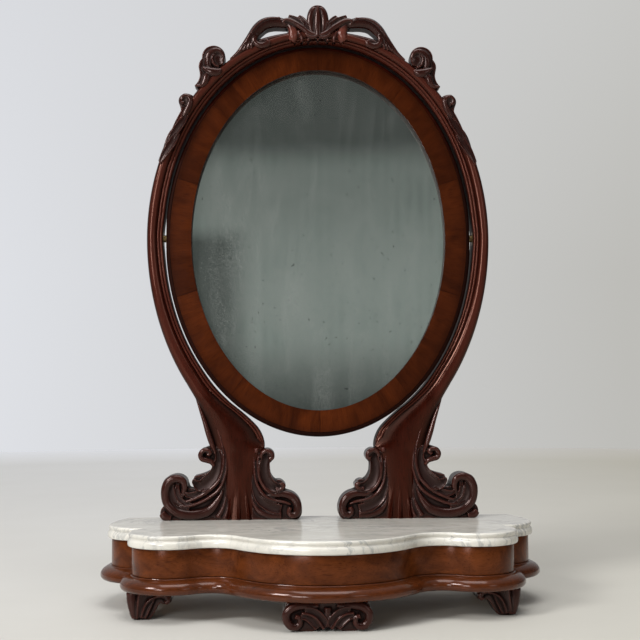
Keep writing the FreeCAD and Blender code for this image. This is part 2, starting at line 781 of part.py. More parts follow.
def plate_screw_set(x, direction, play):
    """Two screws through one plate, above and below the pin."""
    screws = []
    for up in (-1, 1):
        place = V(x, pivot_y, pivot_height + up * plate_screw_share * plate_height)
        screws.append(screw(place, V(direction, 0, 0), plate_screw_diameter + play, plate_screw_length + play,
                            plate_screw_head + play, plate_screw_head_depth))
    return screws


def plate_screws(right_only, play):
    """Screws of the post plates; one side's alone serve as its holes."""
    screws = plate_screw_set(post_plate_x, 1, play)
    if not right_only:
        screws += plate_screw_set(-post_plate_x, -1, play)
    return Part.makeCompound(screws)


def mirror_plate_screws(play):
    """Screws of both plates of the mirror frame."""
    return Part.makeCompound(plate_screw_set(mirror_plate_x, -1, play)
                             + plate_screw_set(-mirror_plate_x, 1, play))


def marble_top():
    """Marble slab with a moulded edge and holes for the bolts of the uprights."""
    slab = moulded_slab(marble_overhang, marble_bottom, marble_thickness, marble_edge_shares)
    holes = [rod(bolt_diameter + bolt_clearance, V(x, y, marble_bottom - cut_overrun),
                 V(x, y, marble_top_height + cut_overrun)) for x, y in bolt_places()]
    return slab.cut(holes)


def base_board():
    """Floor of the base, inside the moulding."""
    return plan_prism(-board_inset, foot_height, board_top)


def moulding_ring():
    """Cushion moulding right round the front and sides of the base board."""
    slab = moulded_slab(moulding_projection, foot_height, moulding_height, moulding_edge_shares)
    inside = plan_prism(-board_inset, foot_height - cut_overrun, board_top + cut_overrun)
    return slab.cut(inside)


def mitre_wedge():
    """Space behind the mitre of the right notch, where the side moulding lies."""
    lobe, wing = plan_circles()[4:6]
    start = notch_point(lobe, wing, 0)
    far = notch_point(lobe, wing, moulding_projection)
    line = V(far[0] - start[0], far[1] - start[1], 0).normalize()
    inner = V(start[0], start[1], 0).sub(V(line).multiply(lobe_radius))
    outer = V(start[0], start[1], 0).add(V(line).multiply(base_half_width))
    behind = V(-line.y, line.x, 0).multiply(base_half_width)
    corners = [inner, outer, outer.add(behind), inner.add(behind)]
    face = Part.Face(Part.makePolygon(corners + [corners[0]]))
    face.translate(V(0, 0, foot_height - cut_overrun))
    return face.extrude(V(0, 0, moulding_height + 2 * cut_overrun))


def right_base_moulding():
    """Side moulding, from the mitre at the notch to the back edge."""
    return moulding_ring().common(mitre_wedge())


def front_base_moulding():
    """Front moulding, from mitre to mitre."""
    return moulding_ring().cut([mitre_wedge(), mirrored(mitre_wedge())])


def frieze_ring(wall):
    """Upright wall that follows the frieze face."""
    inside = plan_prism(-wall, board_top - cut_overrun, marble_bottom + cut_overrun)
    return plan_prism(0, board_top, marble_bottom).cut(inside)


def right_side_frieze():
    """Fixed side wall round the notch and the wing."""
    keep = block(0, base_half_width, parting_y, back_y, board_top, marble_bottom)
    return frieze_ring(frieze_wall).common(keep)


def back_rail():
    """Straight rail between the side walls at the back."""
    rail = block(-base_half_width, base_half_width, back_y - back_rail_wall, back_y,
                 board_top, marble_bottom)
    return rail.common(plan_prism(-frieze_wall, board_top, marble_bottom))


def rear_bearer():
    """Bearer under the marble that takes the bolts of the uprights."""
    rail = block(-base_half_width, base_half_width, bearer_front_y, bearer_front_y + bearer_width,
                 marble_bottom - bearer_height, marble_bottom)
    bearer = rail.common(plan_prism(-frieze_wall, board_top, marble_bottom))
    holes = [rod(bolt_diameter + bolt_clearance, V(x, y, board_top), V(x, y, marble_top_height))
             for x, y in bolt_places()]
    return bearer.cut(holes)


def drawer_floor():
    """Height of the underside of the drawer."""
    return board_top + slide_clearance


def drawer_half_width():
    """Distance from the middle to the outside of a drawer side, inside the runner at the notch."""
    lobe, wing = plan_circles()[4:6]
    return notch_point(lobe, wing, 0)[0] - frieze_wall - runner_gap - runner_width - slide_clearance


def drawer_inside():
    """Space behind the drawer front, from which the box is cut."""
    return plan_prism(-drawer_front_wall, board_top, marble_bottom)


def drawer_front():
    """Serpentine front, between the fixed side walls."""
    keep = block(-base_half_width, base_half_width, front_y, parting_y - slide_clearance,
                 drawer_floor(), marble_bottom - slide_clearance)
    return frieze_ring(drawer_front_wall).common(keep)


def drawer_right_side():
    """Straight side of the drawer box, fitted to the back of its front."""
    outer = drawer_half_width()
    side = block(outer - drawer_side_wall, outer, front_y, drawer_back_y,
                 drawer_floor(), drawer_floor() + drawer_box_height)
    return side.common(drawer_inside())


def drawer_back():
    """Straight back of the drawer box, between its sides."""
    inner = drawer_half_width() - drawer_side_wall
    return block(-inner, inner, drawer_back_y - drawer_back_wall, drawer_back_y,
                 drawer_floor(), drawer_floor() + drawer_box_height)


def drawer_bottom():
    """Panel between the drawer sides, fitted to the back of its front."""
    inner = drawer_half_width() - drawer_side_wall
    bottom = drawer_floor() + drawer_bottom_rise
    panel = block(-inner, inner, front_y, drawer_back_y - drawer_back_wall,
                  bottom, bottom + drawer_bottom_wall)
    return panel.common(drawer_inside())


def drawer_runners():
    """Guides on the base board, outside the drawer sides."""
    near = drawer_half_width() + slide_clearance
    strips = [block(near, near + runner_width, parting_y, drawer_back_y,
                    board_top, board_top + runner_height)]
    strips.append(mirrored(strips[0]))
    return Part.makeCompound(strips)


def drawer_stops():
    """Blocks on the base board that the closed drawer meets."""
    front = drawer_back_y + slide_clearance
    blocks = [block(stop_x - stop_width / 2, stop_x + stop_width / 2, front, front + stop_length,
                    board_top, board_top + stop_height)]
    blocks.append(mirrored(blocks[0]))
    return Part.makeCompound(blocks)


def centre_front_foot():
    """Carved foot with two volutes under the middle of the front."""
    def place(across, up):
        return V(centre_foot_half_width * across, front_y - centre_foot_proud, foot_height * up)
    return board(centre_foot_shares, place, centre_foot_depth)


def right_front_foot():
    """Scrolled bracket foot under the lobe."""
    outer_x = lobe_x + lobe_radius + front_foot_proud

    def place(across, up):
        return V(outer_x + front_foot_width * (across - 1), parting_y - front_foot_lead, foot_height * up)
    return board(front_foot_shares, place, front_foot_depth)


def right_back_foot():
    """Plain tapered foot under the back corner."""
    def level(z, inset):
        half = back_foot_width / 2 - inset
        front = back_y - back_foot_ahead + inset
        back = front + back_foot_depth - 2 * inset
        corners = [V(wing_x - half, front, z), V(wing_x + half, front, z),
                   V(wing_x + half, back, z), V(wing_x - half, back, z)]
        return Part.makePolygon(corners + [corners[0]])
    return Part.makeLoft([level(0, back_foot_taper), level(foot_height, 0)], True, True)


def left(make):
    """Left-hand twin of a right-hand piece."""
    return mirrored(make())


nodes = {
    "marble_top": marble_top(),
    "base_board": base_board(),
    "base_moulding_front": front_base_moulding(),
    "back_rail": back_rail(),
    "rear_bearer": rear_bearer(),
    "drawer_front": drawer_front(),
    "drawer_back": drawer_back(),
    "drawer_bottom": drawer_bottom(),
    "drawer_runners": drawer_runners(),
    "drawer_stops": drawer_stops(),
    "centre_front_foot": centre_front_foot(),
    "top_arch": top_arch(),
    "arch_dowels": arch_dowels(dowel_diameter, dowel_length),
    "crest_palmette": crest_palmette(),
    "upright_bolts": upright_bolts(bolt_diameter, bolt_head_diameter),
    "upright_washers": upright_washers(),
    "post_plate_screws": plate_screws(False, 0),
}

paired = {
    "base_moulding": right_base_moulding,
    "side_frieze": right_side_frieze,
    "drawer_side": drawer_right_side,
    "front_foot": right_front_foot,
    "back_foot": right_back_foot,
    "upright": right_upright,
    "outer_leaf": right_outer_leaf,
    "inner_leaf": right_inner_leaf,
    "crest_scroll": right_crest_scroll,
    "shoulder_volute": right_shoulder_volute,
    "husk": right_husk,
    "pivot_plate": right_pivot_plate,
    "pivot_pin": right_pivot_pin,
}
for name, make in paired.items():
    nodes["right_" + name] = make()
    nodes["left_" + name] = left(make)

swinging = {
    "mirror_frame": mirror_frame(),
    "veneer_band": veneer_band(),
    "mirror_glass": mirror_glass(),
    "glass_wedges": glass_wedges(),
    "backboard": backboard(),
    "backboard_screws": backboard_screws(0),
    "right_mirror_plate": right_mirror_plate(),
    "left_mirror_plate": left(right_mirror_plate),
    "mirror_plate_screws": mirror_plate_screws(0),
}
for name, shape in swinging.items():
    nodes[name] = tilted(shape)

for name, shape in nodes.items():
    shape.exportStep("parts/" + name + ".step")
    print(name, shape.isValid(), len(shape.Solids), round(shape.Volume))
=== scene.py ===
import json
import math

import bmesh
import bpy
import numpy as np
from mathutils import Matrix, Vector


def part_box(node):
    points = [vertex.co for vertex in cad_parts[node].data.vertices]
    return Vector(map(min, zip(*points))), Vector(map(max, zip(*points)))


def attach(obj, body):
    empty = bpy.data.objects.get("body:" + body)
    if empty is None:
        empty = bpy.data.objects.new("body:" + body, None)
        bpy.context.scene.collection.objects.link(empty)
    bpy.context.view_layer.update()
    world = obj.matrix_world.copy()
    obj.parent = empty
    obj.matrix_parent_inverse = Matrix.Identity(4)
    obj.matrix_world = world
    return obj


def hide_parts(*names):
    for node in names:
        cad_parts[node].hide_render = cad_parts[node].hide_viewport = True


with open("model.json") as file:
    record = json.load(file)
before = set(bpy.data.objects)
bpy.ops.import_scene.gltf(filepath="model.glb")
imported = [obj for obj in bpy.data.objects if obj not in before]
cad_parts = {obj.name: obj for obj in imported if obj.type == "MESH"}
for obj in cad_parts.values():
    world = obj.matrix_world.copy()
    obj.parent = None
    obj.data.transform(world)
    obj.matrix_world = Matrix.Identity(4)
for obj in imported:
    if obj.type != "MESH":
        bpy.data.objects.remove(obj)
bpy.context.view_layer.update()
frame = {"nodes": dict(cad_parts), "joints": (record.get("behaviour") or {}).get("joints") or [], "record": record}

MM = 0.001
SIDES = {"right": 1, "left": -1}


def corners(node):
    """Lowest and highest corner of a CAD node at rest, in millimetres."""
    return np.array([tuple(corner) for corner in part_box(node)]) / MM


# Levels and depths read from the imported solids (millimetres)
foot_top = corners("base_board")[0][2]
board_top = corners("base_board")[1][2]
marble_bottom, marble_top = corners("marble_top")[:, 2]
back_y = corners("base_board")[1][1]
post_front, post_back = corners("top_arch")[:, 1]
crest_front, crest_back = corners("right_crest_scroll")[:, 1]
leaf_front = corners("right_outer_leaf")[0][1]
tilt_joint = [joint for joint in frame["joints"] if joint["name"] == "mirror_tilt"][0]
pivot = np.array(tilt_joint["pos_m"]) / MM

# Plan of the frieze face: tangent circles of the right half
lobe = np.array([209.5, back_y - 171.0])
lobe_radius = 54.0
hollow_step = 55.5
hollow_dip = 16.0
frieze_depth = 290.0
wing_radius = 54.0
wing_angle = math.radians(23.8)
notch_depth = 34.2
tail_radius = 194.0
marble_overhang = 6.0
moulding_projection = 16.0
frieze_wall = 16.0
drawer_wall = 18.0

# Ovals about the pivot, half width and half height
mirror_half = np.array([231.5, 301.0])
opening_half = mirror_half + np.array([5.5, 3.0])
arch_half = opening_half + np.array([23.5, 18.0])
lower_half = np.array([arch_half[0], opening_half[1] + 41.0])
joint_angle = math.radians(40.0)
mirror_band = 38.0
mirror_tilt = math.radians(3.0)
mirror_front = pivot[1] - 12.0
mirror_back = pivot[1] + 12.0


# Shader building blocks

def fill(tree, made, inputs):
    """Inputs of a shader node by socket name or number, linked or set."""
    for key, value in inputs.items():
        if isinstance(value, bpy.types.NodeSocket):
            tree.links.new(value, made.inputs[key])
        else:
            made.inputs[key].default_value = value
    return made


def node(tree, kind, inputs, **settings):
    """New shader node: settings by name, then its inputs."""
    made = tree.nodes.new("ShaderNode" + kind)
    for key, value in settings.items():
        setattr(made, key, value)
    return fill(tree, made, inputs)


def coordinates(tree, kind="Object"):
    """Coordinates of one kind."""
    return node(tree, "TexCoord", {}).outputs[kind]


def maths(tree, operation, a, b=0.0, clamp=False):
    """One arithmetic step on two numbers."""
    return node(tree, "Math", {0: a, 1: b}, operation=operation, use_clamp=clamp).outputs[0]


def times(tree, a, b, clamp=False):
    """Product of two numbers."""
    return maths(tree, "MULTIPLY", a, b, clamp)


def blend_colour(tree, factor, a, b, kind="MIX"):
    """Colour a turned towards colour b by the factor."""
    return node(tree, "Mix", {0: factor, 6: a, 7: b}, data_type="RGBA", blend_type=kind).outputs[2]


def spread(tree, value, low, high, to_low=0.0, to_high=1.0):
    """Value stretched from one range to another, held at the ends."""
    return node(tree, "MapRange", {0: value, 1: low, 2: high, 3: to_low, 4: to_high}).outputs[0]


def noise(tree, vector, scale, detail=3.0, rough=0.55, distortion=0.0):
    """Soft random value over the surface."""
    inputs = {"Vector": vector, "Scale": scale, "Detail": detail, "Roughness": rough,
              "Distortion": distortion}
    return node(tree, "TexNoise", inputs).outputs[0]


def scaled(tree, vector, factors):
    """Vector with each axis multiplied."""
    return node(tree, "VectorMath", {0: vector, 1: factors}, operation="MULTIPLY").outputs[0]


def group(name, inputs, outputs):
    """Empty shader group with named sockets; gives the tree, its inputs and its output node."""
    tree = bpy.data.node_groups.new(name, "ShaderNodeTree")
    for label, kind, value in inputs:
        socket = tree.interface.new_socket(label, in_out="INPUT", socket_type="NodeSocket" + kind)
        if value is not None:
            socket.default_value = value
    for label, kind in outputs:
        tree.interface.new_socket(label, in_out="OUTPUT", socket_type="NodeSocket" + kind)
    return tree, tree.nodes.new("NodeGroupInput").outputs, tree.nodes.new("NodeGroupOutput")


def wood_figure_group():
    """Wood figure along local Z: broad flame patches, fine streaks stretched along the grain, dark pores."""
    tree, given, result = group(
        "wood figure",
        [("Vector", "Vector", None), ("Dark", "Color", None), ("Light", "Color", None),
         ("Flame", "Float", 1.0), ("Streak", "Float", 1.0), ("Shortness", "Float", 0.05),
         ("Pores", "Float", 0.5)],
        [("Colour", "Color"), ("Height", "Float")])
    flame = noise(tree, scaled(tree, given["Vector"], (1.0, 1.0, 0.45)), 26.0, 4.0, 0.6, 1.2)
    stretch = node(tree, "CombineXYZ", {0: 1.0, 1: 1.0, 2: given["Shortness"]}).outputs[0]
    streak = noise(tree, scaled(tree, given["Vector"], stretch), 330.0, 4.0, 0.6, 0.3)
    pores = noise(tree, scaled(tree, given["Vector"], (1.0, 1.0, 0.06)), 1100.0, 2.0, 0.5)
    flame_part = times(tree, maths(tree, "SUBTRACT", flame, 0.5), given["Flame"])
    streak_part = times(tree, maths(tree, "SUBTRACT", streak, 0.5), given["Streak"])
    tone = maths(tree, "ADD", maths(tree, "ADD", flame_part, streak_part), 0.5, clamp=True)
    pore = times(tree, spread(tree, pores, 0.56, 0.7), given["Pores"])
    wood = blend_colour(tree, tone, given["Dark"], given["Light"])
    fill(tree, result, {"Colour": blend_colour(tree, pore, wood, given["Dark"], "MULTIPLY"),
                        "Height": maths(tree, "SUBTRACT", tone, pore)})
    return tree


def shade_and_highlight_group():
    """Painted shade and highlight that follow carving: colour is darkened towards the shade colour where the
    relief attribute is below 0 (hollows, sides) and lightened towards the highlight colour where it is above 0
    (edges).
    """
    tree, given, result = group(
        "painted shade and highlight",
        [("Colour", "Color", None), ("Shade and tone colour", "Color", None), ("Highlight and wear colour", "Color", None),
         ("Hollow", "Float", 0.8), ("Edge", "Float", 0.5)],
        [("Colour", "Color"), ("Hollow mask", "Float")])
    relief = node(tree, "Attribute", {}, attribute_name="relief").outputs["Fac"]
    hollow = spread(tree, relief, -0.05, -0.9)
    edge = spread(tree, relief, 0.12, 3.0, 0.0, 3.2)
    # Painted shade: colour darkened towards the shade colour where the relief is below 0
    dark = blend_colour(tree, times(tree, hollow, given["Hollow"]), given["Colour"],
                        given["Shade and tone colour"])
    # Painted highlight, partly wear: colour lightened towards the highlight colour where the relief is above 0
    lit = blend_colour(tree, times(tree, edge, given["Edge"], True), dark, given["Highlight and wear colour"])
    fill(tree, result, {"Colour": lit, "Hollow mask": hollow})
    return tree


def handling_group():
    """Patchy polish: a slow random value that lifts or lowers the roughness about its plain level."""
    tree, given, result = group(
        "patchy polish",
        [("Vector", "Vector", None), ("Plain", "Float", 0.3), ("Change", "Float", 0.1)],
        [("Roughness", "Float")])
    patch = maths(tree, "SUBTRACT", noise(tree, given["Vector"], 45.0, 5.0, 0.65), 0.5)
    rough = maths(tree, "ADD", given["Plain"], times(tree, patch, given["Change"]))
    fill(tree, result, {"Roughness": rough})
    return tree


wood_figure = wood_figure_group()
shade_and_highlight = shade_and_highlight_group()
patchy_polish = handling_group()


def new_material(name):
    """Empty material; gives it, its tree and its Principled shader."""
    material = bpy.data.materials.new(name)
    material.use_nodes = True
    tree = material.node_tree
    return material, tree, tree.nodes["Principled BSDF"]


def placed(tree, group_tree, inputs):
    """A shared group placed in a material."""
    return node(tree, "Group", inputs, node_tree=group_tree).outputs


def grain_vector(tree, turn, uv=False):
    """Object or UV coordinates turned so that local Z runs along the grain."""
    source = coordinates(tree, "UV" if uv else "Object")
    return node(tree, "Mapping", {"Vector": source, "Rotation": turn}).outputs[0]


def mahogany(name, dark, light, flame, streak, turn=(0, 0, 0), uv=False, short=0.05, rough=0.22, coat=0.0,
             hollow=0.0, shade_and_tone_colour=(0.004, 0.0013, 0.001, 1), dull=0.45, edge=0.0, shine=0.22,
             tint=(1.0, 0.62, 0.55, 1)):
    """Polished mahogany: figured wood under a red-brown polish, rougher in hollows; painted shade darkens the
    hollows and a painted highlight, partly wear, lightens the edges.
    """
    material, tree, shader = new_material(name)
    vector = grain_vector(tree, turn, uv)
    figure = placed(tree, wood_figure, {"Vector": vector, "Dark": dark, "Light": light, "Flame": flame,
                                        "Streak": streak, "Shortness": short, "Pores": 0.5})
    # Painted shade in the hollows and a painted highlight (partly wear) on the edges, set by the relief attribute
    shaded = placed(tree, shade_and_highlight,
                    {"Colour": figure["Colour"], "Shade and tone colour": shade_and_tone_colour,
                     "Highlight and wear colour": (0.13, 0.036, 0.025, 1), "Hollow": hollow, "Edge": edge})
    polish = placed(tree, patchy_polish, {"Vector": vector, "Plain": rough, "Change": 0.15})
    dulled = maths(tree, "ADD", polish["Roughness"], times(tree, shaded["Hollow mask"], dull))
    bump = node(tree, "Bump", {"Height": figure["Height"], "Strength": 0.1, "Distance": 0.0004})
    fill(tree, shader, {"Base Color": shaded["Colour"], "Roughness": dulled, "Normal": bump.outputs[0],
                        "Specular IOR Level": shine, "Specular Tint": tint, "Coat Weight": coat,
                        "Coat Roughness": 0.1})
    return material


along_x = (0, math.radians(90), 0)
across_band = (math.radians(90), 0, 0)
# Carved wood: hollow 0.9 and edge 0.25 set how much painted shade and painted highlight it takes
carved_wood = mahogany("carved mahogany", (0.006, 0.0013, 0.0009, 1), (0.023, 0.0052, 0.0037, 1), 1.0, 0.8,
                       rough=0.19, hollow=0.9, dull=0.75, edge=0.25, shine=0.37, tint=(1.0, 0.76, 0.71, 1))
# Posts and mirror frame: hollow 0.95 and edge 0.45 set their painted shade and painted highlight
post_tones = {"dark": (0.0095, 0.0013, 0.0006, 1), "light": (0.039, 0.0056, 0.0025, 1), "flame": 1.2,
              "streak": 0.8, "hollow": 0.95, "edge": 0.45, "tint": (1.0, 0.5, 0.38, 1)}
post_wood = mahogany("post mahogany", rough=0.13, shine=0.35, **post_tones)
frame_wood = mahogany("mirror frame mahogany", rough=0.3, shine=0.12, **post_tones)
frieze_wood = mahogany("frieze mahogany", (0.046, 0.0112, 0.003, 1), (0.15, 0.039, 0.0095, 1), 2.4, 0.6,
                       turn=along_x, short=0.3, rough=0.24)
moulding_wood = mahogany("moulding mahogany", (0.038, 0.0092, 0.0026, 1), (0.115, 0.028, 0.0068, 1), 1.4, 0.9,
                         turn=along_x, rough=0.2, coat=0.4)
# Veneer: hollow 0.7 darkens by the relief, which holds the segments' own tones and painted shade at the band's
# outer edge
veneer_wood = mahogany("veneer mahogany", (0.019, 0.0038, 0.0011, 1), (0.1, 0.0205, 0.0042, 1), 1.7, 0.45,
                       turn=across_band, uv=True, rough=0.2, hollow=0.7, dull=0.0,
                       shade_and_tone_colour=(0.014, 0.0028, 0.0009, 1))


def pine_material():
    """Bare aged pine: pale wood with soft brown streaks along X."""
    material, tree, shader = new_material("aged pine")
    figure = placed(tree, wood_figure, {"Vector": grain_vector(tree, along_x), "Dark": (0.16, 0.085, 0.04, 1),
                                        "Light": (0.36, 0.22, 0.11, 1), "Flame": 1.2, "Streak": 1.4,
                                        "Pores": 0.35})
    bump = node(tree, "Bump", {"Height": figure["Height"], "Strength": 0.25, "Distance": 0.0006})
    fill(tree, shader, {"Base Color": figure["Colour"], "Normal": bump.outputs[0], "Roughness": 0.65})
    return material


def vein_lines(tree, value, width):
    """1 where a random value crosses its middle, down to 0 within a width on both sides."""
    return spread(tree, maths(tree, "ABSOLUTE", maths(tree, "SUBTRACT", value, 0.5)), 0.0, width, 1.0, 0.0)


def marble_material():
    """White marble: thin grey veins where a bent noise crosses its middle value, over soft grey clouds."""
    material, tree, shader = new_material("white marble")
    coords = coordinates(tree)
    slanted = node(tree, "Mapping", {"Vector": coords, "Rotation": (0, 0, math.radians(35)),
                                     "Scale": (1.0, 2.4, 1.0)}).outputs[0]
    vein = vein_lines(tree, noise(tree, slanted, 7.0, 6.0, 0.6, 1.6), 0.035)
    thin = vein_lines(tree, noise(tree, slanted, 19.0, 5.0, 0.6, 1.0), 0.02)
    cloud = spread(tree, noise(tree, slanted, 9.0, 5.0, 0.6, 0.8), 0.35, 0.75)
    strength = times(tree, spread(tree, noise(tree, coords, 6.0, 2.0), 0.35, 0.6), 0.72)
    base = blend_colour(tree, cloud, (0.75, 0.718, 0.648, 1), (0.57, 0.548, 0.49, 1))
    veined = blend_colour(tree, times(tree, vein, strength), base, (0.27, 0.275, 0.28, 1))
    finished = blend_colour(tree, times(tree, thin, times(tree, strength, 0.45)), veined,
                            (0.36, 0.365, 0.365, 1))
    polish = placed(tree, patchy_polish, {"Vector": coords, "Plain": 0.2, "Change": 0.2})
    fill(tree, shader, {"Base Color": finished, "Roughness": polish["Roughness"], "Coat Weight": 0.3,
                        "Coat Roughness": 0.1})
    return material


def mirror_material():
    """Aged silvering: a grey-green mirror with a clouded haze, upright runs and dark spots."""
    material, tree, shader = new_material("aged silvered glass")
    coords = coordinates(tree)
    haze = spread(tree, noise(tree, coords, 9.0, 5.0, 0.62, 0.6), 0.38, 0.72)
    runs = spread(tree, noise(tree, scaled(tree, coords, (1.0, 1.0, 0.16)), 30.0, 4.0, 0.6, 0.5), 0.47, 0.72)
    fine = spread(tree, noise(tree, coords, 380.0, 4.0, 0.75), 0.42, 0.7)
    spots = spread(tree, noise(tree, coords, 170.0, 2.0, 0.5), 0.7, 0.76)
    speckle = times(tree, fine, runs)
    silver = blend_colour(tree, haze, (0.68, 0.74, 0.7, 1), (0.8, 0.84, 0.8, 1))
    foxed = blend_colour(tree, times(tree, speckle, 0.6), silver, (0.62, 0.63, 0.6, 1))
    worn = blend_colour(tree, times(tree, spots, 0.6), foxed, (0.07, 0.075, 0.07, 1))
    metal = maths(tree, "SUBTRACT", 0.97, times(tree, speckle, 0.16))
    rough = maths(tree, "ADD", 0.03, times(tree, maths(tree, "ADD", haze, speckle), 0.05))
    fill(tree, shader, {"Base Color": worn, "Metallic": metal, "Roughness": rough})
    return material


def worn_metal(name, clean, dull, rough):
    """Old metal: clean and dulled patches by a soft noise."""
    material, tree, shader = new_material(name)
    coords = coordinates(tree)
    patch = spread(tree, noise(tree, coords, 160.0, 4.0, 0.6), 0.35, 0.7)
    polish = placed(tree, patchy_polish, {"Vector": coords, "Plain": rough, "Change": 0.3})
    fill(tree, shader, {"Base Color": blend_colour(tree, patch, clean, dull),
                        "Roughness": polish["Roughness"], "Metallic": 0.9})
    return material


finishes = {
    "carved_mahogany": carved_wood,
    "frame_mahogany": post_wood,
    "veneer_mahogany": veneer_wood,
    "frieze_mahogany": frieze_wood,
    "moulding_mahogany": moulding_wood,
    "carcass_pine": pine_material(),
    "white_marble": marble_material(),
    "silvered_glass": mirror_material(),
    "brass_fittings": worn_metal("dulled brass", (0.22, 0.15, 0.065, 1), (0.07, 0.048, 0.027, 1), 0.42),
    "dark_iron": worn_metal("dark iron", (0.09, 0.085, 0.08, 1), (0.05, 0.032, 0.022, 1), 0.55),
}
node_slots = {part["node"]: part["material_slot"] for part in frame["record"]["subparts"]}
node_bodies = {member: body for body, members in frame["record"]["behaviour"]["bodies"].items()
               for member in members}
for name, solid in frame["nodes"].items():
    solid.data.materials.clear()
    solid.data.materials.append(finishes[node_slots[name]])


# Mesh building blocks

def quads(rows, columns, wrap_rows=False, wrap_columns=False):
    """Four-sided faces of a grid of points, joined round where a direction wraps."""
    index = np.arange(rows * columns).reshape(rows, columns)
    if wrap_rows:
        index = np.vstack([index, index[:1]])
    if wrap_columns:
        index = np.hstack([index, index[:, :1]])
    faces = np.stack([index[:-1, :-1], index[1:, :-1], index[1:, 1:], index[:-1, 1:]], axis=-1)
    return faces.reshape(-1, 4).tolist()


def tube_faces(rows, columns):
    """Faces of closed sections (columns wrap) along a path, with both ends capped."""
    last = (rows - 1) * columns
    return quads(rows, columns, wrap_columns=True) + [list(range(columns)), list(range(last, last + columns))]


def linked(name, data):
    """New object in the scene."""
    made = bpy.data.objects.new(name, data)
    bpy.context.scene.collection.objects.link(made)
    return made


def values_of(items, field, kind=float, width=1):
    """One field of a mesh's points, corners or triangles as an array."""
    values = np.empty(width * len(items), kind)
    items.foreach_get(field, values)
    return values if width == 1 else values.reshape(-1, width)


def closed_mesh(name, points, faces):
    """Mesh from points in millimetres, its doubled points joined and its faces turned outwards."""
    same_point = 1e-7
    mesh = bpy.data.meshes.new(name)
    mesh.from_pydata((np.reshape(points, (-1, 3)) * MM).tolist(), [], faces)
    shell = bmesh.new()
    shell.from_mesh(mesh)
    bmesh.ops.remove_doubles(shell, verts=shell.verts, dist=same_point)
    bmesh.ops.recalc_face_normals(shell, faces=shell.faces)
    shell.to_mesh(mesh)
    shell.free()
    return mesh


def add_piece(name, points, faces, cad_node, sharp=38.0):
    """Closed piece that stands for a CAD node: same body and slot, edges sharp above an angle in degrees."""
    mesh = closed_mesh(name, points, faces)
    mesh.shade_smooth()
    mesh.set_sharp_from_angle(angle=math.radians(sharp))
    mesh.materials.append(finishes[node_slots[cad_node]])
    piece = linked(name, mesh)
    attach(piece, node_bodies[cad_node])
    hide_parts(cad_node)
    return piece


def add_tube(name, rings, cad_node):
    """Piece made of closed rings of points, capped at both ends."""
    return add_piece(name, rings, tube_faces(*rings.shape[:2]), cad_node)


def set_relief(piece, relief):
    """Relief attribute of a piece: one value per point, about -1 in hollows and 1 on edges; it sets the painted
    shade and painted highlight.
    """
    attribute = piece.data.attributes.new("relief", "FLOAT", "POINT")
    attribute.data.foreach_set("value", np.ravel(relief))


def flow(knots, count):
    """Smooth curve through rows of knots (Catmull-Rom), read at even steps."""
    knots = np.asarray(knots, float)
    held = np.vstack([2 * knots[0] - knots[1], knots, 2 * knots[-1] - knots[-2]])
    step = np.linspace(0, len(knots) - 1, count)
    first = np.minimum(step.astype(int), len(knots) - 2)
    part = (step - first)[:, None]
    a, b, c, d = (held[first + shift] for shift in range(4))
    return b + 0.5 * part * (c - a + part * (2 * a - 5 * b + 4 * c - d + part * (3 * (b - c) + d - a)))


# Plan of the base

def heading(start, end):
    """Angle in plan from one point to another."""
    return math.atan2(end[1] - start[1], end[0] - start[0])


def arc(centre, radius, start, end, count):
    """Points on a circle from one angle to another."""
    turn = np.linspace(start, end, count)
    return np.stack([centre[0] + radius * np.cos(turn), centre[1] + radius * np.sin(turn)], axis=1)


notch_inset = lobe_radius - notch_depth
wing_apart = math.sqrt(lobe_radius**2 - notch_inset**2) + math.sqrt(wing_radius**2 - notch_inset**2)
wing = lobe + wing_apart * np.array([math.sin(wing_angle), math.cos(wing_angle)])
front_y = back_y - frieze_depth
hollow_point = np.array([lobe[0] - hollow_step, lobe[1] - lobe_radius + hollow_dip])
hollow_rise = lobe[1] - hollow_point[1]
hollow_radius = (hollow_step**2 + hollow_rise**2 - lobe_radius**2) / (2 * (lobe_radius - hollow_rise))
hollow = hollow_point - np.array([0, hollow_radius])
front_gap = front_y - hollow[1]
front_radius = (hollow[0]**2 + front_gap**2 - hollow_radius**2) / (2 * (hollow_radius - front_gap))
front = np.array([0, front_y + front_radius])
tail = np.array([wing[0] + wing_radius - tail_radius, wing[1]])
to_hollow = heading(front, hollow)
to_lobe = heading(hollow, lobe)


def notch(offset):
    """Corner where the lobe and wing circles meet, both grown by an outward offset."""
    grown_lobe = lobe_radius + max(offset, 0)
    grown_wing = wing_radius + max(offset, 0)
    along = (wing_apart**2 + grown_lobe**2 - grown_wing**2) / (2 * wing_apart)
    aside = math.sqrt(grown_lobe**2 - along**2)
    unit = (wing - lobe) / wing_apart
    return lobe + along * unit + aside * np.array([unit[1], -unit[0]])


def half_front(offset, lobe_end):
    """Right half of the serpentine front: bow, hollow and lobe up to an angle on the lobe."""
    return np.vstack([arc(front, front_radius + offset, -math.pi / 2, to_hollow, 40),
                      arc(hollow, hollow_radius - offset, to_hollow + math.pi, to_lobe, 36)[1:],
                      arc(lobe, lobe_radius + offset, to_lobe - math.pi, lobe_end, 48)[1:]])


def both_halves(right):
    """Path from the left end to the right end of a front given as its right half."""
    return np.vstack([right[:0:-1] * np.array([-1, 1]), right])


def whole_front(offset):
    """Front of the base from the left notch to the right notch."""
    return both_halves(half_front(offset, heading(lobe, notch(offset))))


def drawer_path(offset):
    """Front of the drawer, which ends where the lobes turn straight back."""
    return both_halves(half_front(offset, 0.0))


